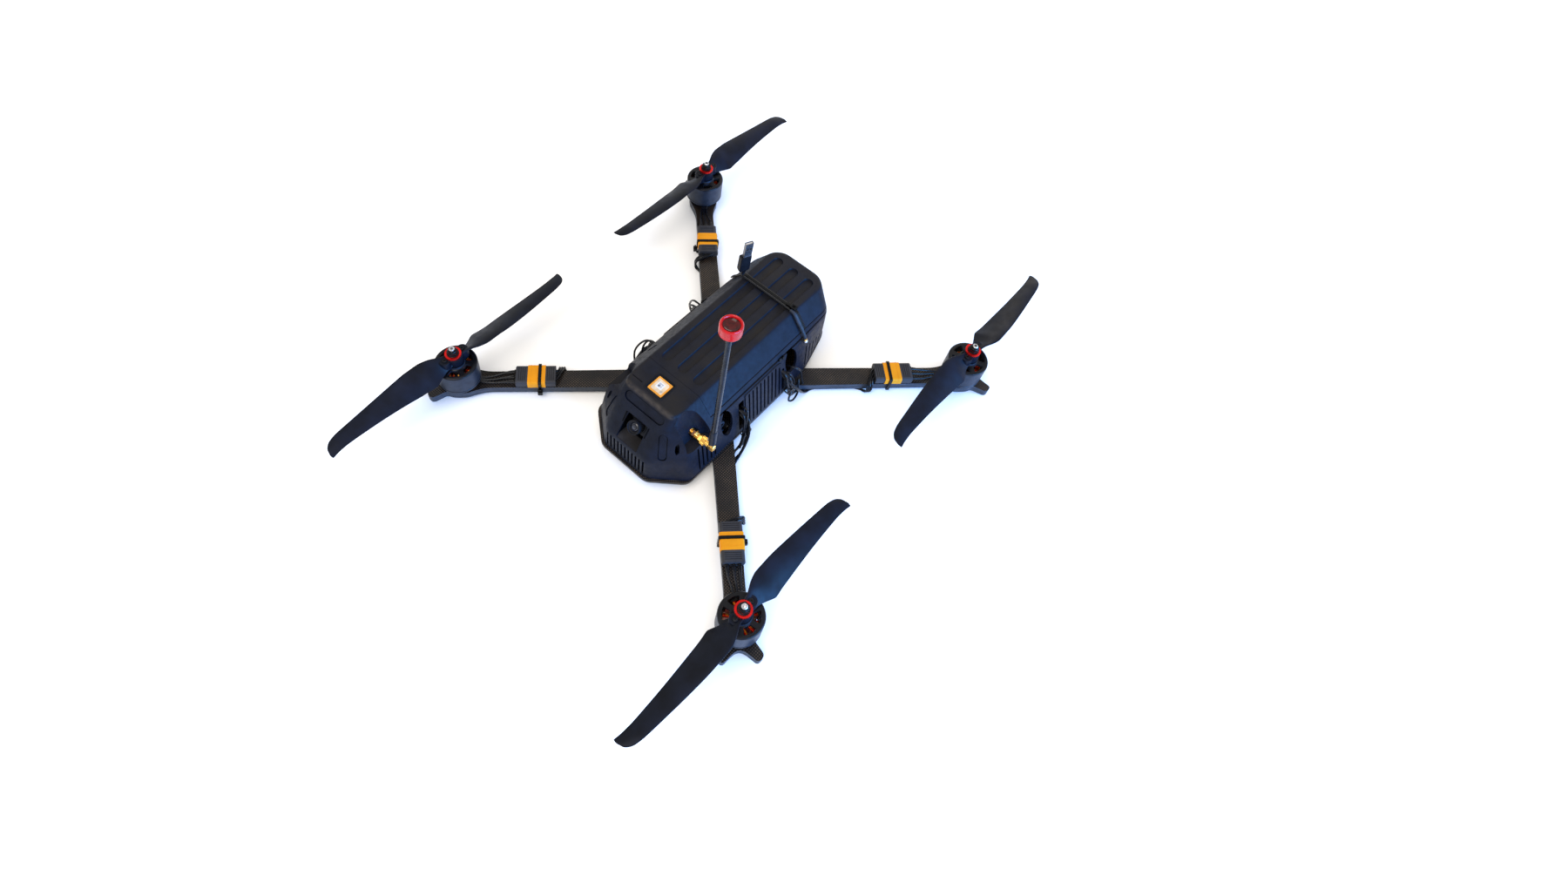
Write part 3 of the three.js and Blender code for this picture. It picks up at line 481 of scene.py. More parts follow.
def facing(at, normal):
    """A frame whose Z is the normal and whose Y is as near to upward as it can be."""
    z = Vector(normal).normalized()
    x = Vector((0, 0, 1)).cross(z).normalized()
    return Matrix.Translation(at) @ Matrix((x, z.cross(x), z)).transposed().to_4x4()


def moved(shape, matrix):
    points, faces = shape
    return [tuple(matrix @ Vector(q)) for q in points], faces


def upright(shape):
    """Turns a prism of (y, z) outline so that its depth lies along X."""
    return moved(shape, Matrix(((0, 0, 1, 0), (1, 0, 0, 0), (0, 1, 0, 0), (0, 0, 0, 1))))


def merged(shapes):
    points, faces = [], []
    for more, sides in shapes:
        faces += [tuple(i + len(points) for i in side) for side in sides]
        points += more
    return points, faces


def to_bmesh(shape):
    mesh = bpy.data.meshes.new("shape")
    mesh.from_pydata(shape[0], [], shape[1])
    mesh.validate()
    bm = bmesh.new()
    bm.from_mesh(mesh)
    bpy.data.meshes.remove(mesh)
    bmesh.ops.recalc_face_normals(bm, faces=bm.faces)
    return bm


def temporary(shape):
    bm = to_bmesh(shape)
    mesh = bpy.data.meshes.new("temporary")
    bm.to_mesh(mesh)
    bm.free()
    obj = bpy.data.objects.new("temporary", mesh)
    bpy.context.scene.collection.objects.link(obj)
    return obj


def carve(shape, tools, operation="DIFFERENCE"):
    """The shape with the tools cut away, joined on or kept in common. Each tool is a closed shape."""
    base = temporary(shape)
    helpers = [temporary(tool) for tool in tools]
    for helper in helpers:
        modifier = base.modifiers.new("carve", "BOOLEAN")
        modifier.operation = operation
        modifier.solver = "MANIFOLD"
        modifier.object = helper
    bpy.context.view_layer.update()
    result = base.evaluated_get(bpy.context.evaluated_depsgraph_get()).to_mesh()
    shape = [tuple(v.co) for v in result.vertices], [tuple(p.vertices) for p in result.polygons]
    for obj in [base] + helpers:
        mesh = obj.data
        bpy.data.objects.remove(obj)
        bpy.data.meshes.remove(mesh)
    return shape


class Piece:
    """One object made of closed shapes, each with its own material and softened edges."""

    def __init__(self, name):
        self.name = name
        self.bm = bmesh.new()
        self.mats = []

    def put(self, shape, mat, at=None, soft=0.0, angle=32, segments=2, edge_mat=None, flat_up=0.6):
        bm = to_bmesh(shape)
        if soft:
            edges = [e for e in bm.edges if e.is_manifold and e.calc_face_angle(0) > math.radians(angle)]
            bmesh.ops.bevel(bm, geom=edges, offset=soft, offset_type="OFFSET", segments=segments, profile=0.6,
                            affect="EDGES", clamp_overlap=True)
        for one in (mat, edge_mat):
            if one is not None and one not in self.mats:
                self.mats.append(one)
        for face in bm.faces:
            side = edge_mat is not None and abs(face.normal.z) < flat_up
            face.material_index = self.mats.index(edge_mat if side else mat)
        if at is not None:
            bm.transform(at)
            if at.determinant() < 0:
                bmesh.ops.reverse_faces(bm, faces=bm.faces)
        mesh = bpy.data.meshes.new("part")
        bm.to_mesh(mesh)
        bm.free()
        self.bm.from_mesh(mesh)
        bpy.data.meshes.remove(mesh)
        return self

    def done(self, body, slot, replaces=(), at=None, smooth=36):
        mesh = bpy.data.meshes.new(self.name)
        if at is not None:
            self.bm.transform(at)
        self.bm.transform(Matrix.Scale(MM, 4))
        self.bm.to_mesh(mesh)
        self.bm.free()
        for mat in self.mats:
            mesh.materials.append(mat)
        mesh.shade_smooth()
        mesh.set_sharp_from_angle(angle=math.radians(smooth))
        obj = bpy.data.objects.new(self.name, mesh)
        bpy.context.scene.collection.objects.link(obj)
        weighted = obj.modifiers.new("weighted", "WEIGHTED_NORMAL")
        weighted.keep_sharp = True
        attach(obj, body)
        if replaces:
            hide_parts(*replaces)
        return obj


def socket_screw(radius, height, bore, depth, sides=20):
    """A button-head screw seen from above, with a hexagon socket; its head stands on z = 0."""
    head = lathe([(0, 0), (radius, 0), (radius, height * 0.45), (radius * 0.9, height * 0.85),
                  (radius * 0.68, height), (0, height)], sides)
    return carve(head, [prism(circle(bore, 6), height - depth, height + 1)])


# ---- dimensions shared with the frame
ARM_BOTTOM, ARM_TOP = 3.3, 10.8
MID_BOTTOM, MID_TOP = 11.1, 14.1
SHELL_BOTTOM = 14.4
TOP_Z, SPLIT_Z = 82, 66
MOTOR_X = MOTOR_Y = 164
REACH = math.hypot(MOTOR_X, MOTOR_Y)
ARM_BOLTS = (20, 36)
BOLT_CIRCLE = 9.5
BOLT_ANGLES = (PI / 4, 3 * PI / 4, 5 * PI / 4, 7 * PI / 4)
PROP_SCREWS = (9.3, -9.3)
ANTENNA_X, ANTENNA_Y, ANTENNA_Z = 58, -80, 55.5
LEAD_Y = 57.6
PLUG_FOOT = (-30, 59, 86)
PLUG_LEAN, PLUG_TURN = math.radians(3), math.radians(68)
STACK_HOLE, STACK_Y = 15.2, -30
CORNERS = [("fl", 1, -1, 1, 1), ("fr", -1, -1, -1, -1), ("rl", 1, 1, -1, -1), ("rr", -1, 1, 1, 1)]


# ---- carbon plates
def build_plates():
    half = [(22, -104), (42, -84), (42, 50), (32, 92), (18, 100)]
    outline = rounded(mirror_x(half), [4, 7, 10, 6, 4, 4, 6, 10, 7, 4])
    spots = [(sx * d, sy * d) for sx in (1, -1) for sy in (1, -1) for d in ARM_BOLTS]
    spots += [(14, -94), (-14, -94), (14, 90), (-14, 90)]
    sink = lathe([(0, -1), (3.4, -1), (3.4, 0), (1.7, 1.7), (1.7, 4), (0, 4)], 20)
    straps = [moved(prism(stadium(10, 1.8), -1, 4), shift(sx * 15, sy, 0) @ rotate(PI / 2, "Z"))
              for sx in (-1, 1) for sy in (-62, 62)]
    lighten = [moved(prism(rounded([(-7, -13), (7, -13), (7, 13), (-7, 13)], 4), -1, 4), shift(x, 0, 0))
               for x in (-30, 30)]
    middle = [prism(rounded([(-9, -9), (9, -9), (9, 9), (-9, 9)], 5), -1, 4)]
    sinks = [moved(sink, shift(x, y, 0)) for x, y in spots]
    plate = carve(prism(outline, 0, 3), [merged(sinks), merged(straps + lighten + middle)])
    Piece("bottom_plate_detail").put(plate, CARBON_PLATE, soft=0.25, angle=60, edge_mat=CARBON_EDGE).done(
        "frame", "carbon_plate", ["bottom_plate"])
    screws = Piece("bottom_plate_screws")
    head = carve(lathe([(0, 0.1), (3.1, 0.1), (3.2, 0.3), (1.75, 1.75), (1.6, 3.2), (0, 3.2)], 20),
                 [prism(circle(1.25, 6), -1, 1.4)])
    for x, y in spots:
        screws.put(head, SCREW, shift(x, y, 0))
    screws.done("frame", "bright_steel")
    posts = Piece("plate_posts")
    for x, y in spots[-4:]:
        posts.put(lathe([(0, 3.05), (2.6, 3.05), (2.8, 3.4), (2.8, 5.2), (2.3, 5.5), (2.3, 8.7), (2.8, 9),
                         (2.8, 10.8), (2.6, 11.05), (0, 11.05)], 18), RED_RING, shift(x, y, 0))
    posts.done("frame", "red_ring")

    half = [(25.8, -124.3), (54.5, -101), (54.5, 58), (40.5, 110), (25.5, 121.5)]
    outline = rounded(mirror_x(half), [5, 6, 16, 9, 6, 6, 9, 16, 6, 5], 6)
    edge_spots = [(49, -84), (49, 6), (47, 62), (14, -117.5), (14, 115.5)]
    edge_spots += [(-x, y) for x, y in edge_spots]
    holes = [moved(prism(circle(1.7, 14), 9, 16), shift(x, y, 0)) for x, y in edge_spots]
    plate = carve(prism(outline, MID_BOTTOM, MID_TOP), [merged(holes)])
    Piece("mid_plate_detail").put(plate, CARBON_PLATE, soft=0.3, angle=60, edge_mat=PLATE_EDGE).done(
        "frame", "carbon_plate", ["mid_plate"])
    heads = Piece("mid_plate_screws")
    flip = rotate(PI, "X")
    screw = socket_screw(2.9, 1.6, 1.2, 1.0)
    for x, y in edge_spots:
        heads.put(screw, SCREW, shift(x, y, MID_BOTTOM) @ flip)
        heads.put(lathe([(0, MID_BOTTOM), (1.6, MID_BOTTOM), (1.6, MID_TOP), (0, MID_TOP)], 14), SCREW,
                  shift(x, y, 0))
    heads.done("frame", "bright_steel")


# ---- arms
def arm_outline():
    m = REACH
    half = [(9, 0, 0), (18.4, 10, 2), (m - 46, 8.9, 8), (m - 24, 8.7, 8), (m - 14, 11.3, 5), (m - 6, 14.6, 6),
            (m + 6, 14.3, 5), (m + 11.2, 12, 3), (m + 16.5, 15.4, 3), (m + 21.8, 18.5, 1.8), (m + 24.8, 17.8,
                                                                                              1.8),
            (m + 27.4, 14.4, 1.2), (m + 26.9, 12.4, 1.4), (m + 22.3, 7.5, 4), (m + 18.6, 2.6, 3)]
    lower = [(x, -y, cut) for x, y, cut in reversed(half[1:])]
    ring = half + lower
    return rounded([q[:2] for q in ring], [q[2] for q in ring], 6)


def build_arm(name, along):
    holes = [moved(prism(circle(1.75, 16), 2, 12),
                   shift(REACH + BOLT_CIRCLE * math.cos(a), BOLT_CIRCLE * math.sin(a), 0))
             for a in BOLT_ANGLES]
    holes.append(moved(prism(circle(3.5, 24), 2, 12), shift(REACH, 0, 0)))
    holes += [moved(prism(circle(1.6, 14), 2, 12), shift(d * math.sqrt(2), 0, 0)) for d in ARM_BOLTS]
    arm = carve(prism(arm_outline(), ARM_BOTTOM, ARM_TOP), [merged(holes)])
    Piece(f"arm_{name}_carbon").put(arm, CARBON_ARM, soft=0.35, angle=60, edge_mat=CARBON_EDGE).done(
        "frame", "carbon_arm", [f"arm_{name}"], along)
    screws = Piece(f"motor_screws_{name}")
    screw = socket_screw(2.8, 1.5, 1.15, 1.0)
    flip = rotate(PI, "X")
    for a in BOLT_ANGLES:
        screws.put(screw, SCREW,
                   shift(REACH + BOLT_CIRCLE * math.cos(a), BOLT_CIRCLE * math.sin(a), ARM_BOTTOM) @ flip)
    screws.done("frame", "bright_steel", at=along)


# ---- motors
TEETH = 12


def build_motor(name, hub, turn):
    stator = Piece(f"motor_stator_{name}_wound")
    base = lathe([(2.9, 11.1), (14, 11.1), (14.6, 11.6), (14.6, 12.8), (14, 13.3), (8.4, 13.5), (6.4, 15.2),
                  (6, 16),
                  (6, 31.5), (2.9, 31.5)], 36)
    slots = [moved(prism(slab(4.2, 2.6, 1), 10, 15), rotate(PI / 4 + k * PI / 2, "Z")
                   @ shift(11.6, 0, 0)) for k in range(4)]
    stator.put(carve(base, [merged(slots)]), BELL_SIDE, soft=0.15, angle=50)
    ring = []
    for i in range(TEETH):
        for share, radius in ((-0.1, 6.6), (-0.1, 14.4), (-0.4, 14.9), (-0.4, 15.9), (0, 16.1), (0.4, 15.9),
                              (0.4, 14.9), (0.1, 14.4), (0.1, 6.6)):
            angle = 2 * PI * (i + share) / TEETH
            ring.append((radius * math.cos(angle), radius * math.sin(angle)))
    core = carve(prism(ring, 19, 29.6), [prism(circle(5.9, 24), 10, 40)])
    stator.put(core, LAMINATION)
    for i in range(TEETH):
        rings = []
        turns = 8
        for k in range(turns * 2 + 1):
            r = 7.4 + k * 6.6 / (turns * 2)
            swell = 0.34 if k % 2 else 0.0
            wide, tall = 0.75 + 0.14 * (r - 7.4) + swell, 6.0 + swell + 0.12 * (r - 7.4)
            rings.append([(r, y, 24.3 + z) for y, z in slab(2 * wide, 2 * tall, min(wide, 1.1), 3)])
        stator.put(loft(rings), WINDING, rotate(2 * PI * i / TEETH, "Z"))
    stator.done("frame", "stator_windings", [f"motor_stator_{name}"], hub)

    bell = Piece(f"motor_bell_{name}_turned")
    rim = lathe([(16.9, 16.5), (18.1, 16.5), (18.7, 17), (18.7, 18.6), (18.45, 18.9), (18.45, 19.5),
                 (18.7, 19.8),
                 (18.7, 37.9), (18.2, 38.8), (17.4, 39.2), (15.6, 39.2), (14.2, 38.9), (9.2, 38.9), (8.4,
                                                                                                     39.4),
                 (8, 41), (2.5, 41), (2.5, 34.6), (8.2, 34.6), (9.6, 36), (15.8, 36), (16.9, 35)], 72)
    windows = []
    for k in range(6):
        middle = math.radians(60 * k + 30 + turn)
        spread = math.radians(21)
        outer = [(15.2, middle - spread + 2 * spread * i / 8) for i in range(9)]
        inner = [(9.3, middle + spread * 0.84 - 2 * spread * 0.84 * i / 5) for i in range(6)]
        points = [(r * math.cos(a), r * math.sin(a)) for r, a in outer + inner]
        cuts = [1.6] + [0] * 7 + [1.6, 1.4] + [0] * 4 + [1.4]
        windows.append(prism(rounded(points, cuts, 4), 33, 42))
    bell.put(carve(rim, [merged(windows)]), BELL, soft=0.22, angle=50, edge_mat=BELL_SIDE, flat_up=0.25)
    bell.put(lathe([(0, 11.7), (1.9, 11.7), (2.5, 12.2), (2.5, 59), (2.1, 59.4), (1.2, 59.4), (1.2, 56),
                    (0, 56)], 24),
             STEEL)
    for k in range(14):
        bell.put(block((-1.7, 15.95, 17.6), (1.7, 16.95, 34.5)), MAGNET,
                 rotate(2 * PI * k / 14, "Z"), soft=0.2)
    bell.done(f"rotor_{name}", "motor_bell", [f"motor_bell_{name}"], hub)


# ---- propellers
STATIONS = [(3, -4.6, 4.6), (8, -5, 5), (12, -6.2, 5.2), (15, -7.6, 5.8), (20, -10, 7.8), (26, -11.8, 10.6),
            (29, -12.2, 10.9), (36, -12.3, 10), (50, -12.2, 9), (66, -11.2, 8), (82, -9.9, 7.2), (100, -8.2,
                                                                                                  6.7),
            (110, -7.2, 6.6), (116, -6.2, 6.9), (121.5, -4.4, 7.4), (125.4, -0.9, 8.1), (126.8, 3.4, 8.2)]
PROP_MID = 47
AIRFOIL = [(0, 0), (0.02, 0.35), (0.08, 0.68), (0.18, 0.93), (0.32, 1), (0.5, 0.86), (0.68, 0.6), (0.84, 0.3),
           (1, 0.05)]


def blade(spin):
    path = catmull(STATIONS, 4)
    rings = []
    for radius, lead, trail in path:
        width = trail - lead
        rise = min(width / 2 * 127 / (2 * PI * max(radius, 14)), 2 + radius * 0.2, 5.2)
        tip = max(0.0, (radius - 112) / 15)
        thick = (2.5 if radius < 20 else 2.5 - 1.5 * min(1, (radius - 20) / 60)) * (1 - 0.45 * tip)
        upper, lower = [], []
        for along, high in AIRFOIL:
            x = lead + width * along
            chord = PROP_MID + rise * (1 - 2 * along)
            camber = 0.055 * width * math.sin(PI * along)
            droop = -1.6 * tip * tip
            upper.append((spin * x, radius, chord + camber + high * thick * 0.62 + droop))
            lower.append((spin * x, radius, chord + camber - high * thick * 0.38 - 0.12 + droop))
        rings.append(upper + list(reversed(lower)))
    end = [sum((Vector(q) for q in rings[-1]), Vector()) / len(rings[-1])]
    rings.append([end[0] + (Vector(q) - end[0]) * 0.35 + Vector((0, 0.35, 0)) for q in rings[-1]])
    return loft(rings)


def build_propeller(name, hub, spin):
    one = blade(spin)
    both = carve(one, [moved(one, rotate(PI, "Z"))], "UNION")
    middle = lathe([(0, 41.3), (7.2, 41.3), (7.4, 41.6), (7.4, 50.4), (6.9, 50.8), (0, 50.8)], 40)
    bosses = [moved(lathe([(0, 41.5), (5, 41.5), (5, 50), (4.7, 50.4), (3, 50.4), (2.9, 50.1), (0, 50.1)],
                          28),
                    shift(0, y, 0)) for y in PROP_SCREWS]
    whole = carve(both, [middle, bosses[0], bosses[1]], "UNION")
    whole = carve(whole, [prism(circle(2.85, 24), 35, 60)])
    Piece(f"propeller_{name}_moulded").put(whole, PROP, soft=0.16, angle=48).done(
        f"rotor_{name}", "propeller", [f"propeller_{name}"], hub, smooth=40)
    screws = Piece(f"propeller_screws_{name}")
    screw = socket_screw(2.05, 1.2, 1.1, 0.9)
    for y in PROP_SCREWS:
        screws.put(screw, SCREW, shift(0, y, 50.15))
    screws.done(f"rotor_{name}", "black_nut", at=hub)

    ring = Piece(f"prop_ring_{name}_turned")
    grip = []
    for k in range(72):
        r = 7.15 if k % 3 else 6.9
        grip.append((r * math.cos(2 * PI * k / 72), r * math.sin(2 * PI * k / 72)))
    washer = carve(prism(grip, 51.1, 52.8), [prism(circle(2.85, 24), 50, 54),
                                             prism(circle(5.3, 32), 52.4, 54)])
    ring.put(washer, RED_RING, soft=0.12, angle=50)
    ring.done(f"rotor_{name}", "red_ring", [f"prop_ring_{name}"], hub)

    nut = Piece(f"prop_nut_{name}_turned")
    hexagon = carve(prism(circle(4.9, 6), 53.1, 56.4),
                    [lathe([(4.4, 57), (6, 57), (6, 55.4)], 36), prism(circle(2.85, 24), 50, 60)])
    nut.put(hexagon, BLACK_NUT, soft=0.15, angle=40)
    nut.put(lathe([(2.85, 56.3), (3.9, 56.3), (3.9, 57.1), (3.5, 57.6), (2.85, 57.6)], 32), BLACK_NUT)
    nut.put(lathe([(2.8, 53.1), (5.15, 53.1), (5.15, 53.6), (4.6, 53.9), (2.8, 53.9)], 36), BLACK_NUT)
    nut.done(f"rotor_{name}", "black_nut", [f"prop_nut_{name}"], hub)


# ---- wiring on the arms
PLUG_BOTTOM = ARM_TOP + 0.3
PLUG_TOP = PLUG_BOTTOM + 8.5
TIE_AT = 161.5


def build_connector(name, along):
    plug = Piece(f"motor_connector_{name}_moulded")
    middle = (PLUG_BOTTOM + PLUG_TOP) / 2

    def segment(x0, x1, wide, high, cut, mat, ribs=(), soft=0.35):
        outline = [(y, z + middle) for y, z in slab(wide, high, cut, 5)]
        shape = loft([[(x, y, z) for y, z in outline] for x in (x0, x1)])
        if ribs:
            grooves = [block((x - 0.35, -wide * 0.36, PLUG_TOP - 0.9), (x + 0.35, wide * 0.36, PLUG_TOP + 2))
                       for x in ribs]
            grooves += [block((x - 0.35, -wide * 0.36, PLUG_BOTTOM - 2),
                              (x + 0.35, wide * 0.36, PLUG_BOTTOM + 0.6))
                        for x in ribs]
            shape = carve(shape, [merged(grooves)])
        plug.put(shape, mat, soft=soft, angle=50)

    segment(147.5, 156.6, 19.2, 8.2, 2.6, CAP_GREY, [149.4, 151.2, 153.0, 154.8])
    segment(156.5, 160.1, 20.4, 8.5, 2.2, AMBER)
    segment(160.0, 163.0, 18.6, 7.3, 2.0, AMBER, soft=0)
    segment(162.9, 172.3, 20.4, 8.5, 2.2, AMBER, soft=0.3)
    segment(168.9, 169.5, 20.75, 8.8, 2.2, AMBER, soft=0.12)
    segment(172.2, 182.4, 19.4, 8.3, 2.8, CAP_GREY, [174.6, 176.4, 178.2, 180])
    segment(181.9, 183, 18.2, 7.4, 2.8, CAP_GREY)
    plug.done("frame", "connector_nylon", [f"motor_connector_{name}"], along)

    tie = Piece(f"connector_tie_{name}_nylon")
    outer = rounded([(-11.2, 1.9), (11.2, 1.9), (11.2, 20.4), (-11.2, 20.4)], 2.2, 5)
    inner = rounded([(-10.0, 3.0), (10.0, 3.0), (10.0, 19.3), (-10.0, 19.3)], 1.6, 5)
    band = carve(prism(outer, TIE_AT - 1.3, TIE_AT + 1.3), [prism(inner, TIE_AT - 3, TIE_AT + 3)])
    tie.put(upright(band), TIE, soft=0.2, angle=50)
    tie.put(block((TIE_AT - 2.2, 10.2, 5.2), (TIE_AT + 2.2, 14.2, 9.6)), TIE, soft=0.5)
    tie.put(moved(prism(slab(2.4, 1.2, 0.4), 9, 12.2), shift(TIE_AT, 12.4, 0)), TIE, soft=0.2)
    tie.done("frame", "tie_nylon", [f"connector_tie_{name}"], along)


def build_leads(name, along, side):
    leads = Piece(f"motor_leads_{name}_silicone")
    start, end = 182.8, REACH - 14.0
    low = ARM_TOP + 1.25
    for offset in (-5.4, 0.2, 5.2):
        for strand, wobble in ((-0.75, 0.5), (0.75, -0.4)):
            leads.put(tube([(start, offset + strand, PLUG_BOTTOM + 4.0),
                            (start + 4, offset + strand, PLUG_BOTTOM + 3.8 + wobble * 0.4),
                            (start + 11, offset * 0.92 + strand + wobble, low + 1.7),
                            (start + 20, offset * 0.66 + strand * 0.8 + wobble + 1, low + 0.5),
                            (start + 29, offset * 0.42 + strand * 0.75 + 1, low + 0.4),
                            (end - 3, offset * 0.36 + strand * 0.7, low + 1.2),
                            (end, offset * 0.34 + strand * 0.7, low + 2.6)], 0.72, 9, 5), WIRE)
    for offset in (-5.4, 0.2, 5.2):
        leads.put(moved(prism(slab(3.4, 3.0, 0.8), 0, 1.6), shift(182.9, offset, PLUG_BOTTOM + 4.1)
                        @ rotate(PI / 2, "Y")), TIE, soft=0.25)
    leads.done("frame", "wire_silicone", [f"motor_leads_{name}"], along)

    run = Piece(f"speed_leads_{name}_silicone")
    s = side
    under = ARM_BOTTOM - 1.7
    for k, spread in enumerate((-1.9, 0.1, 2.1)):
        lift = 0.25 * (k - 1)
        run.put(tube([
            (148.2, s * (spread * 2.4), PLUG_BOTTOM + 4.3), (145.6, s * (2.2 + spread * 2.0), PLUG_BOTTOM
                                                             + 4.2),
            (143.6 + spread * 0.5, s * (7 + spread * 0.8), PLUG_BOTTOM + 3.5 + lift),
            (142.4 + spread, s * 11.8, PLUG_BOTTOM + 0.6), (142 + spread, s * 13.2, 6.6),
            (140.6 + spread, s * 12.2, 3.0), (136 + spread, s * (8.4 + spread * 0.6), under),
            (124, s * (3.6 + spread), under), (108, s * (3.2 + spread), under), (90, s * (5.6 + spread),
                                                                                 under),
            (82.5 + spread * 0.4, s * (10.4 + spread * 0.4), under + 0.5), (78 + spread * 0.3, s * 15.2, 7.6),
            (72.6 + spread * 0.4, s * (19.4 + lift), 18), (66 + spread * 0.5, s * (21.4 + lift * 2), 28),
            (59.4, s * (19.4 + lift), 33.8 + spread * 0.6), (55, s * 14.4, 35.6 + spread * 0.7),
            (50.5, s * 8.6, 33.4 + spread * 0.7)], 0.95, 9, 4), WIRE)
    run.done("frame", "wire_silicone", [f"speed_leads_{name}"], along)


# ---- body shell
SKIN = [
    (SHELL_BOTTOM, [(24.8, -122.2), (54, -98.3), (54, 58), (40, 109.5), (25, 121)], 0, 0),
    (39, [(22.4, -121.8), (49.9, -96.6), (49.9, 58), (42, 104.3), (24, 115.6)], 0.16, 0.22),
    (58, [(23.6, -109.6), (46.6, -93.2), (46.6, 58), (43.4, 100.2), (23, 112)], 0.15, 0.4),
    (63.5, [(24.2, -106), (43.4, -91.4), (43.4, 58), (43, 98.6), (22.4, 111)], 0.4, 0.4),
    (67, [(24.6, -103.8), (41.2, -90), (41.2, 58), (41.8, 97.8), (22, 110.4)], 0.4, 0.16),
    (80.8, [(26, -94.6), (29.2, -84.6), (29.2, 58), (30.6, 100.8), (20.4, 109.4)], 0.1, 0.5),
    (TOP_Z, [(25, -93), (27.6, -83.8), (27.6, 57.6), (29, 99.8), (19.6, 108)], 0.5, 0.5),
]
PLAN_CUTS = [5, 6, 16, 9, 6]


def skin(inset=0.0):
    """The shell's outer skin with rounded corners, or the same skin moved in by inset."""
    levels = []
    rows = SKIN + [(TOP_Z, [(x - 4, y + (4 if y < 0 else -4)) for x, y in SKIN[-1][1]], 0, 0)]
    for row, (z, half, _, _) in enumerate(rows):
        ring = []
        for i, (x, y) in enumerate(half):
            ends = {0: 1, 4: -1}.get(i, 0)
            corner = {1: 0.5, 3: -0.6}.get(i, 0)
            ring.append((x - inset * (0.55 if ends else 1), y + inset * (ends + corner)))
        height = z
        if inset > 0 and row == 0:
            height = z - 5
        if row >= len(rows) - 3:
            height = z - inset
        flat = rounded(mirror_x(ring), PLAN_CUTS + PLAN_CUTS[::-1], 6)
        levels.append([Vector((x, y, height)) for x, y in flat])
    rings = [levels[0]]
    for row in range(1, len(levels) - 1):
        before, after = rows[row][2], rows[row][3]
        for k in range(5):
            t = k / 4
            ring = []
            for a, b, c in zip(levels[row - 1], levels[row], levels[row + 1]):
                start, stop = b + (a - b) * before, b + (c - b) * after
                ring.append((1 - t) ** 2 * start + 2 * t * (1 - t) * b + t * t * stop)
            rings.append(ring)
    rings.append(levels[-1])
    return loft(rings)


def slope_point(z):
    """The front slope's Y at a height."""
    return -109.6 + (z - 58) * 15 / 22.8


def oval(cy, cz, ry, rz, lean, steps=28):
    return [(cy + ry * math.cos(2 * PI * i / steps) - lean * rz * math.sin(2 * PI * i / steps),
             cz + rz * math.sin(2 * PI * i / steps)) for i in range(steps)]


def side_tools():
    """Everything cut through the side walls, on both sides."""
    vents = [(y, 47) for y in (-85, -80, -75, -70, -65)]
    vents += [(-19.5 + 5.2 * i, 57 - (3 if i == 8 else 0)) for i in range(9)]
    vents += [(y, 44 - 3 * i) for i, y in enumerate((64.5, 71.5, 78.5, 85.5, 92.5))]
    tools = []
    for side in (1, -1):
        reach = (30, 66) if side > 0 else (-66, -30)
        slots = []
        for y, top in vents:
            slots.append(upright(prism([(y + b, (17 + top) / 2 + a) for a,
                                        b in stadium((top - 17) / 2, 0.95, 6)], *reach)))
        slots.append(upright(prism(oval(-48.5, 44, 7.2, 16.5, 0.06), *reach)))
        slots.append(upright(prism(oval(40, 46, 8.2, 15.5, 0.12), *reach)))
        slots.append(upright(prism(rounded([(-33, 18), (-26, 18), (-26, 55), (-33, 55)], 2.5), *reach)))
        slots.append(upright(prism(rounded([(26, 18), (30, 18), (30, 46), (26, 46)], 1.6), *reach)))
        tools.append(merged(slots))
    return tools


def scoop(grow, bottom, top):
    below = [(38.5, -96), (38.5, -77), (42.5, -70.4), (47, -69.4), (66, -69), (66, -96)]
    above = [(27.8, -94), (27.8, -82.6), (31, -74), (46.8, -68.8), (66, -68.8), (66, -94)]
    if grow:
        below = [(36.3, -98), (36.3, -76), (41, -68.2), (47, -67.2), (52, -67.2), (52, -98)]
        above = [(25.6, -96), (25.6, -82), (29.4, -72.4), (46, -66.8), (60, -66.8), (60, -96)]
    cuts = [0, 3, 3, 1, 0, 0]
    return loft([[(x, y, z) for x, y in rounded(ring, cuts, 4)] for ring,
                 z in ((below, bottom), (above, top))])


def mirrored_shape(shape):
    points, faces = shape
    return [(-x, y, z) for x, y, z in points], [tuple(reversed(f)) for f in faces]


PATCH = (-1.5, -79)
PATCH_MARKS = [(0, 1.9, 4.4, 0.35), (-1, 1.1, 2.2, 0.35), (1.3, 1.1, 1.2, 0.35), (-0.9, -0.6, 2.0, 2.0),
               (1.2, -0.2, 1.4, 0.4), (1.2, -1.1, 1.4, 0.4)]


def sunken(outline, island, at, floor, trench):
    """Tools for a shallow recess that follows the skin, with a finer trench round its edge."""
    whole = moved(prism(outline, -8, 5), at)
    ring = carve(whole, [moved(prism(island, -9, 6), at)])
    return [carve(whole, [floor]), carve(ring, [trench])]


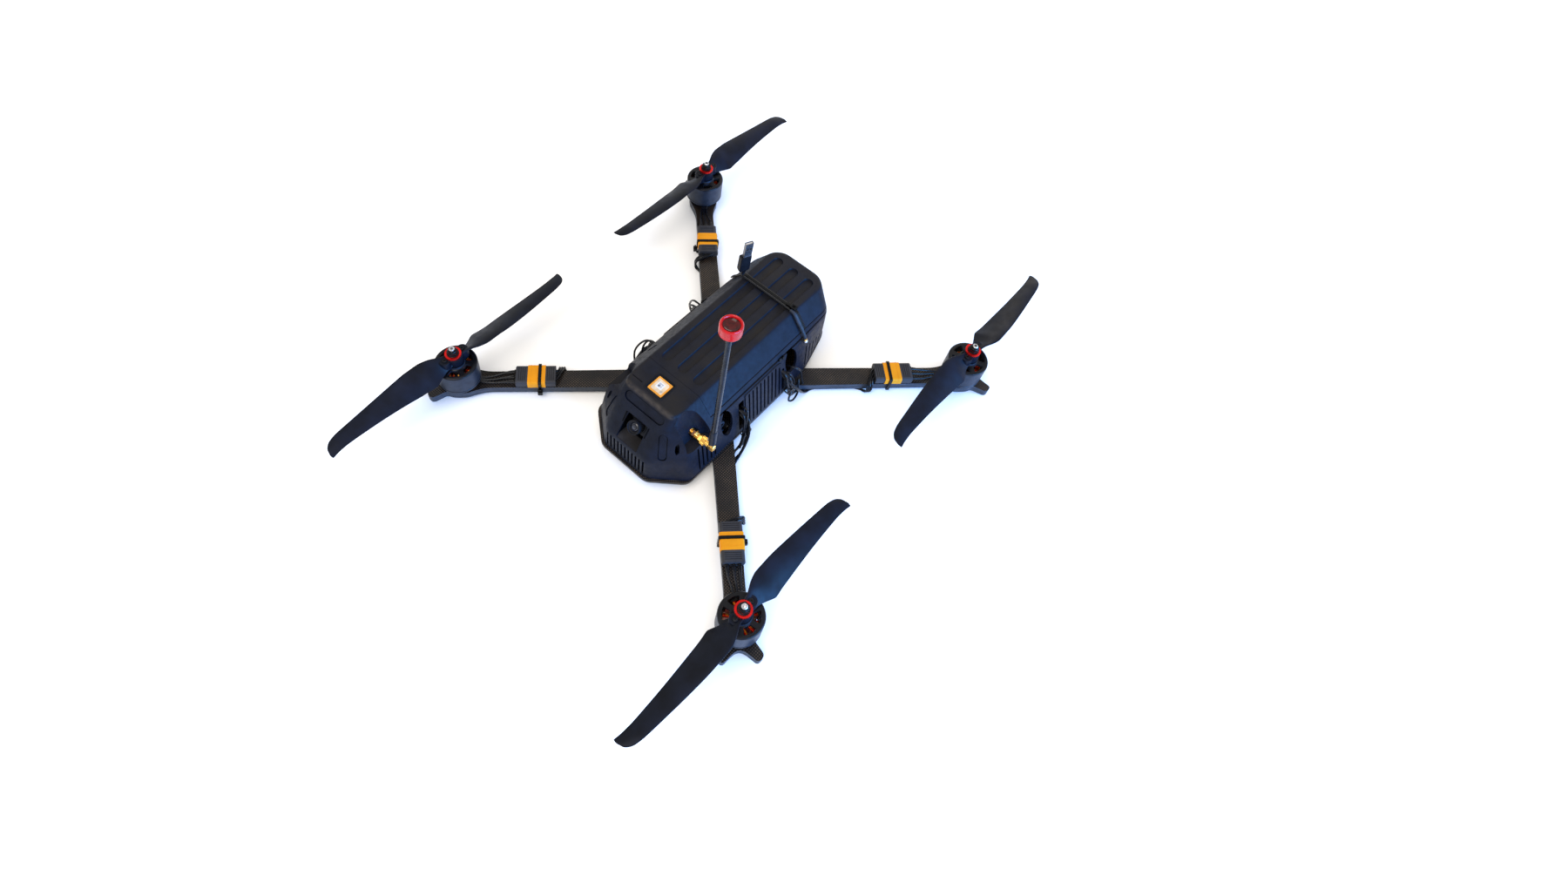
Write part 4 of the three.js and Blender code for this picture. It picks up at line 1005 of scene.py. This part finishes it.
def build_shell():
    outer = skin()
    inner = skin(2.2)
    panels = [upright(prism(rounded([(-24.4, 15), (26, 15), (26, 58.4), (-24.4, 58.4)], [0, 0, 6, 1.5]), -70,
                            70))]
    raised = carve(skin(-0.9), panels, "INTERSECT")
    body = carve(outer, [raised], "UNION")
    body = carve(body, [inner])
    walls = [carve(part, [outer], "INTERSECT")
             for part in (scoop(True, 47.3, TOP_Z), mirrored_shape(scoop(True, 47.3, TOP_Z)))]
    body = carve(body, walls, "UNION")

    # the seam: a fine gap under the lid and a moulded groove below it
    lid_space = block((-70, -64.25, SPLIT_Z - 0.8), (70, 140, 100))
    ledge = carve(carve(skin(-3), [block((-90, -63.5, 59.9), (90, 140, 61.6))], "INTERSECT"), [skin(1.5)])
    floor, trench = skin(0.7), skin(1.7)
    front = facing((0, slope_point(74), 74), (0, -22.8, 15))
    sunk = sunken(stadium(21.4, 4.7), stadium(20.6, 3.9), front, floor, trench)
    hexes = []
    for side in (1, -1):
        face = facing((side * 29.8, -108.2, 53.6), (side * 0.6, -0.72, 0.34))
        upward = [[(y, x) for x, y in stadium(*size)] for size in ((13.4, 3.8), (12.7, 3.1))]
        sunk += sunken(*upward, face, floor, trench)
        spot = facing((side * 39.2, -101.0, 53.6), (side * 0.6555, -0.7154, 0.2419))
        outline = [(-0.6, -6.6), (1.9, -3.8), (1.9, 3.6), (0.9, 6.4), (-1.6, 3.4), (-1.9, -3.4)]
        hexes.append(moved(prism(outline, -6, 3), spot))
    window = [(-11.6, 40.6), (11.6, 40.6), (10.8, 63.5), (-10.8, 63.5)]
    window = rounded(window, 1.3)
    opening = [tuple((x, y, z) for x, z in window) for y in (-97, -130)]
    slots = merged([block((x - 0.95, -130, 17.5), (x + 0.95, -112, 37))
                    for x in [(i - 5) * 4.1 for i in range(11)]])
    well = prism([(x + PATCH[0], y + PATCH[1]) for x, y in slab(18.8, 18.8, 1.6)], TOP_Z - 8, TOP_Z + 2)
    slit = moved(prism(stadium(5.6, 0.45), TOP_Z - 0.8, TOP_Z + 1), shift(-20.2, -86.3, 0))
    hole = moved(prism(circle(3.6, 24), 0, 20), shift(30, ANTENNA_Y, ANTENNA_Z) @ rotate(PI / 2, "Y"))
    tools = side_tools() + [scoop(False, 49.5, TOP_Z + 0.6), mirrored_shape(scoop(False, 49.5, TOP_Z + 0.6)),
                            lid_space, ledge, merged(hexes), loft(opening), slots, well, slit, hole] + sunk
    base = carve(body, tools)
    Piece("shell_base_moulded").put(base, SHELL).done("frame", "body_shell", ["shell_base"], smooth=28)
    # a dark sheet just inside the vents and openings: painted shade inside the shell
    behind = [block((-90, y0, 16), (90, y1, z)) for y0, y1,
              z in ((-24, 25, 57.5), (-88, -62, 48.5), (61.5, 96, 46.5))]
    behind.append(block((-23, -130, 16), (23, -108, 38.5)))
    shade_sheet = carve(carve(skin(2.5), [merged(behind)], "INTERSECT"), [skin(3.1)])
    Piece("vent_shade_sheet").put(shade_sheet, SHELL_PAINTED_SHADE).done("frame", "body_shell")

    lid = carve(outer, [block((-70, -64, SPLIT_Z + 0.1), (70, 140, 100))], "INTERSECT")
    grooves = []
    for x in (-17.5, 0, 17.5):
        ring = stadium((95.2 + 53) / 2 + 4.6, 4.6, 12)
        at = shift(x, (95.2 - 53) / 2, 0) @ rotate(PI / 2, "Z")
        layers = []
        for shrink, z in ((0.9, TOP_Z - 1.7), (0.5, TOP_Z - 1.5), (0, TOP_Z - 0.3), (-0.3, TOP_Z),
                          (-0.3, TOP_Z + 1)):
            layers.append([(a - math.copysign(shrink, a), b * (4.6 - shrink) / 4.6, z) for a, b in ring])
        grooves.append(moved(loft(layers), at))
    latch = [moved(prism(stadium(4.6, 1.5), -3, 3),
                   facing((side * 38.2, -49.5, 70.4), (side * 0.76, 0, 0.65)) @
                   rotate(0.5 * side, "Z")) for side in (1, -1)]
    lid = carve(lid, [inner] + grooves + latch)
    Piece("shell_lid_moulded").put(lid, SHELL).done("lid", "body_shell", ["shell_lid"], smooth=28)


# ---- positioning antenna
def build_patch():
    x, y = PATCH
    at = shift(x, y, 0)
    patch = Piece("gps_antenna_patch")
    patch.put(prism(slab(18, 18, 1), 74.4, 76), BOARD, at, soft=0.1, angle=50)
    patch.put(prism(slab(16.4, 16.4, 0.8), 75.9, 77.7), CHIP, at, soft=0.2, angle=50)
    patch.put(prism(slab(15.2, 15.2, 1.0), 77.6, 81.55), CERAMIC, at, soft=0.22, angle=50)
    face = rounded([(-5.9, -4.9), (-4.9, -5.9), (5.9, -5.9), (5.9, 4.6), (4.6, 5.9), (-5.9, 5.9)], 0.3, 2)
    patch.put(prism(face, 81.5, 81.64), PATCH_METAL, at, soft=0.04, angle=50)
    patch.put(lathe([(0, 81.5), (0.9, 81.5), (0.75, 81.9), (0.3, 82), (0, 82)], 12), STEEL,
              shift(x + 3.9, y - 3.6, 0))
    patch.put(prism(slab(6.6, 6.4, 0.5), 81.6, 81.72), LABEL, shift(x - 0.5, y + 0.6, 0))
    for dx, dy, wide, high in PATCH_MARKS:
        patch.put(block((-wide / 2, -high / 2, 81.7), (wide / 2, high / 2, 81.76)), LABEL_INK,
                  shift(x - 0.5 + dx, y + 0.6 + dy, 0))
    patch.done("frame", "patch_ceramic", ["gps_antenna"])
    gasket = carve(prism(slab(18.5, 18.5, 1.5), 78.8, 81.5), [prism(slab(15.9, 15.9, 1.1), 70, 90)])
    Piece("patch_gasket").put(gasket, RUBBER, at, soft=0.35, angle=50, segments=3).done("frame",
                                                                                        "camera_plastic")
    lip = carve(prism(slab(20.4, 20.4, 2.4), 81.6, 82.3), [prism(slab(18.2, 18.2, 1.6), 70, 90)])
    Piece("patch_bezel").put(lip, RUBBER, at, soft=0.25, angle=50).done("frame", "body_shell")


# ---- camera
def build_camera():
    pivot = shift(0, -95, 46.5)
    tilted = pivot @ rotate(math.radians(-33.4), "X")
    bracket = Piece("camera_bracket_moulded")
    for side in (1, -1):
        cheek = rounded([(-100, 14.4), (-90, 14.4), (-90, 51), (-100, 51)], [0, 0, 4.4, 4.4], 8)
        low, high = (10.3, 12.5) if side > 0 else (-12.5, -10.3)
        plate = carve(upright(prism(cheek, low, high)),
                      [upright(prism([(y - 95, z + 46.5) for y, z in circle(1.7, 20)], -20, 20)),
                       upright(prism([(y - 95, z + 36) for y, z in slab(4, 8, 1.8)], -20, 20)),
                       upright(prism([(y - 95, z + 25) for y, z in slab(4, 8, 1.8)], -20, 20))])
        bracket.put(plate, LENS_BODY, soft=0.25, angle=50)
    bracket.put(prism([(x, y - 95) for x, y in slab(25, 18, 2)], 14.4, 16.6), LENS_BODY, soft=0.3, angle=50)
    bracket.done("frame", "camera_plastic", ["camera_bracket"])

    body = Piece("camera_body_moulded")
    case = loft([[(x, y, z) for x, z in slab(19 - shrink, 19 - shrink, 2.2, 5)] for y, shrink in
                 ((9, 1.2), (8.4, 0), (3.6, 0), (3.3, 0.5), (2.7, 0.5), (2.4, 0), (-7.2, 0), (-8, 1.0))])
    body.put(case, LENS_BODY, soft=0)
    for x in (-7.2, 7.2):
        for z in (-7.2, 7.2):
            body.put(socket_screw(1.15, 0.6, 0.55, 0.4, 16), SCREW,
                     shift(x, -7.9, z) @ rotate(PI / 2, "X"))
    for side in (1, -1):
        body.put(lathe([(0, 9.4), (2.6, 9.4), (2.6, 10.1), (1.5, 10.2), (1.5, 12.1), (0, 12.1)], 18), SCREW,
                 rotate(side * PI / 2, "Y"))
    body.done("camera", "camera_plastic", ["camera_body"], tilted)

    lens = Piece("camera_lens_turned")
    at = rotate(PI / 2, "X")
    lens.put(lathe([(4, 8.3), (7.4, 8.3), (7.4, 10.6), (7, 11), (6.1, 11.4), (6.1, 12.2), (6.1, 17),
                    (6.3, 17.3),
                    (6.4, 17.7), (6.4, 20.2), (6.2, 20.6), (5.8, 20.6), (5.6, 20.2), (5.5, 19.2), (4.9, 19.0),
                    (4.7, 19.3), (4.3, 19.3), (4.2, 18.5), (3.9, 18.2)], 48), LENS_BODY, at)
    lens.put(lathe([(5.75, 20.55), (6.2, 20.55), (6.25, 20.7), (5.75, 20.7)], 48), SCREW, at)
    for k in range(24):
        lens.put(block((5.9, -0.28, 12.6), (6.45, 0.28, 16.6)), LENS_BODY,
                 at @ rotate(2 * PI * k / 24, "Z"), soft=0.12)
    lens.put(lathe([(0, 15.8), (4.0, 15.8), (4.0, 18.2), (3.6, 18.6), (3, 18.9), (2, 19.2), (1, 19.35),
                    (0, 19.4)], 40),
             LENS_GLASS, at)
    lens.put(lathe([(2.0, 18.9), (2.6, 18.9), (2.6, 19.16), (2.3, 19.26), (2.0, 19.3)], 40), LENS_BODY, at)
    lens.done("camera", "lens_glass", ["camera_lens"], tilted)

    # the window's side walls and roof take the darker shell colour: painted shade in the recess
    tunnel = Piece("camera_window_walls")
    for side in (1, -1):
        wall = [(-119.9, 41.2), (-101.5, 41.2), (-101.5, 63.2), (-106.6, 63.2)]
        low, high = (11.7, 12.8) if side > 0 else (-12.8, -11.7)
        tunnel.put(upright(prism(wall, low, high)), SHELL_PAINTED_SHADE)
    tunnel.put(block((-12.7, -120, 39.6), (12.7, -108.4, 40.7)), WINDOW_FLOOR)
    tunnel.put(block((-12.5, -105.2, 63.6), (12.5, -101.5, 64.6)), SHELL_PAINTED_SHADE)
    tunnel.done("frame", "body_shell")


# ---- video antenna
def build_antenna():
    socket = shift(38, ANTENNA_Y, ANTENNA_Z) @ rotate(PI / 2, "Y")
    thread = [(0, -8), (3.1, -8)]
    z = -7.4
    while z < 6.0:
        thread += [(3.1, z), (2.8, z + 0.3), (3.1, z + 0.6)]
        z += 0.75
    jack = Piece("sma_jack_turned")
    jack.put(lathe(thread + [(3.1, 6.4), (0, 6.4)], 28), GOLD)
    # the hex flange in dark brownish gold: painted shade
    jack.put(carve(prism(circle(4.6, 6), 0.4, 2.6), [lathe([(4.2, 3), (6, 3), (6, 1.6)], 30)]), GOLD_PAINTED_SHADE,
             soft=0.15)
    jack.put(lathe([(2.9, 2.65), (4.3, 2.65), (4.3, 3.1), (2.9, 3.1)], 30), GOLD, soft=0.08)
    jack.done("frame", "gold_plate", ["sma_jack"], socket)

    nut = Piece("antenna_nut_knurled")
    grip = []
    for k in range(60):
        r = 3.95 if k % 2 else 3.65
        grip.append((r * math.cos(2 * PI * k / 60), r * math.sin(2 * PI * k / 60)))
    nut.put(prism(grip, 9.6, 13.2), GOLD, soft=0.06, angle=70)
    nut.put(carve(prism(circle(4.0, 6), 6.8, 9.4), [lathe([(3.5, 6.5), (5, 6.5), (5, 7.4)], 30)]), GOLD,
            soft=0.12)
    nut.put(lathe([(0, 9.2), (3.3, 9.2), (3.3, 9.7), (0, 9.7)], 30), GOLD)
    nut.put(lathe([(0, 13.1), (3.1, 13.1), (2.9, 13.6), (2.3, 13.8), (2.3, 15), (2.5, 15.2), (2.5, 15.8),
                   (2.3, 16),
                   (2.3, 16.9), (0, 16.9)], 30), GOLD)
    nut.done("antenna", "gold_plate", ["antenna_nut"], socket)

    elbow = Piece("antenna_elbow_plated")
    elbow.put(block((55.6, -82.3, 53.3), (60.7, -77.7, 58.3)), GOLD, soft=0.5, segments=3)
    elbow.put(lathe([(0, -0.3), (2.0, -0.3), (2.0, 0.25), (1.7, 0.4), (0, 0.4)], 24), GOLD,
              shift(60.7, ANTENNA_Y, ANTENNA_Z) @ rotate(PI / 2, "Y"))
    elbow.put(lathe([(0, 58.4), (2.6, 58.4), (2.6, 59.2), (2.3, 59.5), (2.3, 61.2), (2.5, 61.4), (2.4, 62),
                     (0, 62)], 28),
              GOLD, shift(ANTENNA_X, ANTENNA_Y, 0))
    elbow.done("antenna", "gold_plate", ["antenna_elbow"])

    stem = Piece("antenna_stem_sleeved")
    at = shift(ANTENNA_X, ANTENNA_Y, 0)
    stem.put(lathe([(0, 62.3), (2.9, 62.3), (3.15, 62.8), (3.2, 70), (3.1, 78), (3.0, 80.6), (2.6, 81.6),
                    (2.2, 81.8),
                    (0, 81.8)], 28), SLEEVE, at)
    stem.put(lathe([(0, 81), (2.3, 81), (2.3, 120), (2.2, 160), (2.15, 213.2), (0, 213.2)], 24), JACKET, at)
    stem.done("antenna", "antenna_jacket", ["antenna_stem"])

    cap = Piece("antenna_cap_moulded")
    cap.put(lathe([(0, 213.7), (6.8, 213.7), (7.8, 214.1), (8.25, 214.9), (8.3, 215.9), (8.15, 216.3),
                   (8.15, 216.7),
                   (8.35, 217.1), (8.4, 222.2), (8.25, 223.2), (7.8, 223.85), (7.1, 224), (6.6, 223.7), (6.3,
                                                                                                         223),
                   (6.1, 222.4), (6.1, 219.2), (0, 219.2)], 56), CAP_RED, at)
    # the concave top in the darker red: painted shade
    cap.put(carve(lathe([(0, 219), (6.25, 219), (6.25, 222.5), (0, 222.5)], 48),
                  [lathe([(0, 220.6), (3, 220.8), (5, 221.4), (5.9, 222.2), (6, 224), (0, 224)],
                         48)]), CAP_DISH_PAINTED_SHADE, at)
    cap.done("antenna", "antenna_cap", ["antenna_cap"])


# ---- lid tie, charging lead and plug
def build_lid_fixings():
    tie = Piece("lid_tie_nylon")
    y = 61.2
    corners = [(-42.6, 68.2), (-29.9, 82.95), (29.9, 82.95), (42.6, 68.2)]
    line = rounded(corners, [0, 3.5, 3.5, 0], 6)
    path = []
    for (xa, za), (xb, zb) in zip(line, line[1:]):
        steps = max(1, round(math.hypot(xb - xa, zb - za) / 0.55))
        path += [Vector((xa + (xb - xa) * k / steps, y, za + (zb - za) * k / steps)) for k in range(steps)]
    path.append(Vector((line[-1][0], y, line[-1][1])))
    rings = []
    for i, at in enumerate(path):
        along = (path[min(i + 1, len(path) - 1)] - path[max(i - 1, 0)]).normalized()
        out = Vector((-along.z, 0, along.x))
        thick = 0.62 if i % 3 else 0.42
        section = [(-1.75, -0.55), (1.75, -0.55), (1.8, -0.35), (1.8, 0.4), (1.3, 0.45), (1.1, thick),
                   (-1.1, thick),
                   (-1.3, 0.45), (-1.8, 0.4), (-1.8, -0.35)]
        rings.append([at + Vector((0, a, 0)) + out * b for a, b in section])
    tie.put(loft(rings), TIE)
    head = carve(block((24.4, 58.9, 82.3), (29.6, 63.5, 85.9)), [block((23, 59.7, 83.6), (27.4, 62.7, 85.0)),
                                                              block((25.6, 59.9, 84.9), (28.3, 62.5, 87))])
    tie.put(head, TIE, soft=0.3, angle=50)
    for k in range(3):
        tie.put(block((25.9 + 0.8 * k, 60.1, 84.9), (26.3 + 0.8 * k, 62.3, 85.5)), TIE, soft=0.1)
    tie.put(moved(block((-2.6, -1.6, -0.5), (2.6, 1.6, 0.5)), shift(22.2, y, 84.6)
                  @ rotate(-0.12, "Y")), TIE, soft=0.2)
    tie.done("lid", "tie_nylon", ["lid_tie"])

    over = 83.55
    lead = Piece("charge_lead_silicone")
    lead.put(tube([(-30, 58.7, 85.4), (-30.3, 58.2, 84.5), (-29.8, 57.8, 83.8), (-28.4, LEAD_Y, 83.5),
                   (-25, LEAD_Y, over),
                   (0, 57.7, over), (20, LEAD_Y, over), (27, LEAD_Y, over), (31.6, LEAD_Y,
                                                                             82.1)], 1.1, 12, 5), WIRE)
    route = catmull([(26.4, LEAD_Y, over + 0.1), (29.5, LEAD_Y, 83.3), (32.2, LEAD_Y, 81.6),
                     (37.4, LEAD_Y, 75.6),
                     (43.2, LEAD_Y, 69), (46.6, LEAD_Y, 64.4), (48, LEAD_Y, 61.2)], 5)
    flat = [(1.5 * math.cos(a), 1.05 * math.sin(a)) for a in [2 * PI * k / 14 for k in range(14)]]
    lead.put(loft(swept_rings(route, flat)), STRAP_GREY)
    lead.done("lid", "wire_silicone", ["charge_lead"])
    tip = Piece("lead_tip_ball")
    tip.put(lathe([(0, -2.1)] + [(2.1 * math.sin(a), -2.1 * math.cos(a))
                                 for a in [PI * k / 12 for k in range(1, 12)]]
                  + [(0, 2.1)], 24), STEEL, shift(48.7, LEAD_Y, 59.2))
    tip.put(lathe([(0, 0.6), (1.6, 0.6), (1.75, 1.2), (1.6, 2.8), (0, 2.8)], 20), GOLD,
            shift(48.6, LEAD_Y, 59.2) @ rotate(-0.25, "Y"))
    tip.done("lid", "bright_steel", ["lead_tip"])

    at = Matrix.Translation(PLUG_FOOT) @ rotate(-PLUG_LEAN, "X") @ rotate(PLUG_TURN, "Z")
    plug = Piece("usb_plug_moulded")
    grip = loft([[(x - 0.7, y + 0.2, z) for x, y in slab(10.4 - shrink, 5.8 - shrink, 1.2, 5)] for z,
                 shrink in
                 ((3.6, 3), (4.2, 1.6), (5.4, 0.6), (6.6, 0), (21.2, 0), (21.8, 0.3), (22, 0.8))])
    ribs = [block((-8, side * 2.9 + 0.2 - 0.3, z), (8, side * 2.9 + 0.2 + 0.3, z + 0.8)) for side in (1, -1)
            for z in (7.6, 9.4, 11.2)]
    plug.put(carve(grip, [merged(ribs)]), PLUG_BLACK)
    plug.put(lathe([(0, -1.5), (1.35, -1.5), (1.5, -0.4), (1.8, -0.2), (1.8, 0.6), (1.7, 1), (2.1, 1.6),
                    (2.1, 2.2),
                    (2, 2.6), (2.4, 3.8), (0, 3.8)], 24), PLUG_BLACK)
    metal = shift(0.3, -0.05, 0)
    holes = [block((x - 0.8, -4, 30.2), (x + 0.8, 4, 32.4)) for x in (-1.9, 1.9)]
    shell = carve(prism(slab(7.8, 3.3, 0.5, 3), 21.9, 37.6),
                  [prism(slab(7.3, 2.8, 0.35, 3), 23, 38), merged(holes)])
    plug.put(shell, PLUG_METAL, metal)
    plug.put(prism(slab(8.3, 3.7, 0.6, 3), 21.8, 23), PLUG_METAL, metal, soft=0.2)
    plug.put(block((-3.5, -0.1, 22.5), (3.5, 1.3, 36.6)), LABEL, metal, soft=0.08)
    for x in (-2.4, -0.8, 0.8, 2.4):
        plug.put(block((x - 0.4, -0.22, 26), (x + 0.4, -0.08, 36)), GOLD, metal)
    plug.done("lid", "plug_plastic", ["usb_plug"], at)


# ---- inside the shell
def build_inside():
    rng = random.Random(7)
    floor_z = SHELL_BOTTOM
    stack = Piece("flight_stack_boards")
    posts = [(x, STACK_Y + y) for x in (-STACK_HOLE, STACK_HOLE) for y in (-STACK_HOLE, STACK_HOLE)]
    holes = [moved(prism(circle(1.6, 14), 10, 40), shift(x, y, 0)) for x, y in posts]
    for z, thick in ((floor_z + 4, 1.6), (floor_z + 12, 1.6)):
        plate = carve(prism([(x, y - 30) for x, y in slab(36, 36, 3)], z, z + thick), [merged(holes)])
        stack.put(plate, BOARD, soft=0.1, angle=60)
        for _ in range(26):
            x, y = rng.uniform(-13, 13), rng.uniform(-13, 13)
            w, d, h = rng.choice([(4.2, 4.2, 1.1), (2.2, 1.2, 0.8), (1.2, 0.7, 0.6), (3, 2, 1),
                                  (1.6, 3.1, 0.9)])
            stack.put(block((x - w / 2, y - 30 - d / 2, z + thick),
                            (x + w / 2, y - 30 + d / 2, z + thick + h)),
                      rng.choice([CHIP, CHIP, STEEL, CERAMIC]), soft=0.12)
        for side in (-1, 1):
            for k in range(6):
                stack.put(block((side * 16.6 - 1.1, -41 + 4 * k, z + thick),
                                (side * 16.6 + 1.1, -38.8 + 4 * k,
                                                                             z + thick + 0.25)), GOLD)
    stack.put(block((-6, -50, floor_z + 13.5), (6, -46.6, floor_z + 16)), LABEL, soft=0.3)
    for x, y in posts:
        at = shift(x, y, 0)
        stack.put(lathe([(0, floor_z), (2.4, floor_z), (2.4, 18.2), (1.5, 18.3), (1.5, 20.1), (2.2, 20.2),
                         (2.2, 26.2),
                         (1.5, 26.3), (1.5, 28), (0, 28)], 16), STEEL, at)
        stack.put(prism(circle(2.7, 6), 28, 30.2), SCREW, at, soft=0.2)
    stack.done("frame", "circuit_board", ["flight_stack"])

    sender = Piece("video_transmitter_finned")
    fins = [block((-15 + 2.5 * k + 0.7, -73, floor_z + 7), (-15 + 2.5 * k + 2.1, -53, floor_z + 13))
            for k in range(12)]
    case = carve(block((-16, -72, floor_z), (16, -54, floor_z + 12)), [merged(fins)])
    sender.put(case, HEATSINK, soft=0.2, angle=60)
    sender.put(lathe([(0, 0), (2, 0), (2, 2), (0, 2)], 18), GOLD,
               shift(15.9, -63, floor_z + 3.6) @ rotate(PI / 2, "Y"))
    sender.done("frame", "transmitter_case", ["video_transmitter"])

    def cells(shrink):
        """A shrink-wrapped pack's outline across its cells: three wide and two high."""
        ring = []
        for count, a, b, flip in ((3, 31, 22, 0), (2, 22, 31, 1), (3, 31, 22, 2), (2, 22, 31, 3)):
            steps = count * 8
            for k in range(steps):
                u = -a + 2 * a * k / steps
                dip = 1.5 * (1 - abs(math.sin(PI * count * k / steps))) ** 2
                edge = min(1, min(k, steps - k) / 3)
                v = -(b - dip * edge)
                corner = 1 - 0.14 * (1 - edge) ** 2
                x, z = ((u, v), (-v, u), (-u, -v), (v, -u))[flip]
                ring.append((x * corner * shrink, z * corner * shrink))
        return ring

    pack = Piece("battery_pack")
    middle = floor_z + 22
    rings = [[(x, y, middle + z) for x, z in cells(shrink)] for y, shrink in
             ((-6, 0.72), (-5.4, 0.86), (-3.4, 0.96), (0, 0.995), (14, 1), (42, 0.992), (43, 0.985),
              (44, 0.992), (72, 1),
              (86, 0.995), (89.6, 0.96), (91.4, 0.87), (92, 0.74))]
    pack.put(loft(rings), WRAP)
    for y0 in (20, 66):
        band = loft([[(x, y, middle + z) for x, z in slab(62.6, 44.8, 7, 5)] for y in (y0, y0 + 12)])
        band = carve(band, [loft([[(x, y, middle + z) for x, z in slab(61.4, 43.4, 6.5, 5)]
                                  for y in (y0 - 1, y0 + 13)])])
        pack.put(band, TIE, soft=0.15, angle=60)
    pack.put(block((-8, 93.4, 40), (8, 104, 48)), YELLOW, soft=1.2, segments=3)
    for side, mat in ((-1, CAP_RED), (1, WIRE)):
        pack.put(tube([(side * 8, 90, 54), (side * 8, 94, 55), (side * 7, 98.5, 53), (side * 4, 99, 49),
                       (side * 4, 98.5, 45)],
                      1.7, 12, 5), mat)
    pack.done("frame", "battery_wrap", ["battery"])

    can = Piece("capacitors")
    for y, z, r in ((-50.5, 24.2, 5.2), (-39.5, 22.6, 4.2)):
        at = shift(27, y, z) @ rotate(PI / 2, "Y")
        can.put(lathe([(0, 0), (r, 0), (r, 1.2), (r * 0.94, 1.6), (r * 0.94, 2.1), (r, 2.5), (r, 18),
                       (r * 0.93, 18.7),
                       (r * 0.8, 18.8), (r * 0.78, 18.5), (0, 18.5)], 28), WRAP, at)
        can.put(lathe([(0, 18.4), (r * 0.76, 18.4), (r * 0.74, 18.7), (0, 18.7)], 28), STEEL, at)
    can.done("frame", "circuit_board")


# ---- small fittings on the shell
def build_fittings():
    exits = Piece("cable_exits")
    for side in (1, -1):
        for end in (1, -1):
            middle = -29.5 if end < 0 else 28
            for k, (dy, out, low) in enumerate([(-2.4, 57.4, 34), (-0.8, 58.8, 26), (0.9, 60.2, 30),
                                                (2.3, 58.2, 22)]):
                y = middle + dy
                exits.put(tube([(side * x, yy, z) for x, yy, z in (
                    (46, y, low + 12), (50.5, y, low + 11.5), (out - 2.2, y + end * 0.6, low + 8),
                    (out, y + end * 1.6, low), (59.6 + 0.4 * k, y + end * 4, 17), (60.6 + 0.3 * k, y
                                                                                   + end * 7.6, 9.5),
                    (60.2, middle + end * (14.5 + k), 5.2), (61, middle + end * (19 + k), 1.7),
                    (65, middle + end * (24 + k), 1.5))], 1.05, 10, 4), WIRE)
            if side < 0:
                hang = [(48, 2, 44), (54, 2.4, 45), (60.5, 3.4, 43), (66, 6, 35), (69.5, 8.6, 24),
                        (68.5, 10.4, 14),
                        (64, 12.6, 7), (60.5, 15.6, 3.4), (61.5, 19, 1.6)]
                inner = [(48, 0, 40), (55, -0.4, 42), (61.6, 0.4, 38), (64.4, 3.4, 29), (62.6, 7.4, 19),
                         (60.4, 12, 9)]
                turns = [hang, inner]
            elif end > 0:
                turns = [[(48, 5, 38), (54, 5.4, 37), (58, 8, 30), (60.6, 4.6, 19), (63.6, -2, 12.6),
                          (65.4, 3, 9),
                          (64, 11, 9.4), (61.4, 15, 14), (58.2, 17.6, 20), (57, 20.4, 13), (60.6, 21.4, 5)],
                         [(48, 7, 44), (55, 8.4, 46), (58.6, 12.4, 42), (58.4, 18.6, 31), (58.8, 22.6, 17),
                          (63, 23, 6)]]
            else:
                turns = [[(48, 0.6, 49), (54.4, 0.4, 49), (57.2, -1.6, 41), (58.6, -2.8, 30), (60.6, -7, 17),
                          (62.4, -12, 9)]]
            for turn in turns:
                exits.put(tube([(side * x, middle + (end * y if side < 0 or end > 0 else y), z) for x, y,
                                z in turn],
                               0.95, 10, 6), WIRE)
            band = moved(prism(slab(5.2, 10.6, 1.8), -0.9, 0.9), shift(side * 59.4, middle + end * 2.2, 22))
            ring = carve(band, [moved(prism(slab(4.2, 9.6, 1.5), -2, 2),
                                      shift(side * 59.4, middle + end * 2.2, 22))])
            exits.put(ring, TIE, soft=0.15)
    exits.done("frame", "wire_silicone")

    latches = Piece("latch_springs")
    for side in (1, -1):
        at = facing((side * 45.6, 26.5, 60.9), (side, 0, 0.45))
        latches.put(prism(rounded([(-3.6, -1.6), (3.6, -1.6), (3.6, 1.2), (-3.6, 1.2)], 0.8, 4), -1.2, 0.7),
                    TIE, at, soft=0.3)
        latches.put(prism(circle(1.5, 16), 0.3, 1.6), TIE, at @ shift(1.4, -0.2, 0), soft=0.3)
    latches.done("frame", "body_shell")

    ports = Piece("port_sockets")
    for side in (1, -1):
        at = shift(side * 41, -50.5, 37) @ rotate(side * PI / 2, "Y")
        ports.put(carve(lathe([(0, -6), (5, -6), (5, 3.2), (4.5, 3.8), (0, 3.8)], 32),
                        [lathe([(0, -3), (3.4, -3), (3.4, 5), (0, 5)],
                               32)]), STRAP_GREY, at, soft=0.2, angle=60)
        ports.put(lathe([(0, -5), (2.2, -5), (2.2, 1), (1.8, 1.6), (0, 1.6)], 24), CHIP, at)
    ports.done("frame", "connector_nylon")


# ---- assembly
build_plates()
for name, sx, sy, spin, lead_side in CORNERS:
    along = rotate(math.atan2(sy * MOTOR_Y, sx * MOTOR_X), "Z")
    hub = shift(sx * MOTOR_X, sy * MOTOR_Y, 0)
    build_arm(name, along)
    build_motor(name, hub, 12 * sx + 5 * sy)
    build_propeller(name, hub, spin)
    build_connector(name, along)
    build_leads(name, along, lead_side)
build_shell()
build_patch()
build_camera()
build_antenna()
build_lid_fixings()
build_inside()
build_fittings()

bpy.ops.mesh.primitive_plane_add(size=8, location=(0, 0, -0.0006))
floor = bpy.context.object
floor.name = "floor"
floor.data.materials.append(FLOOR)
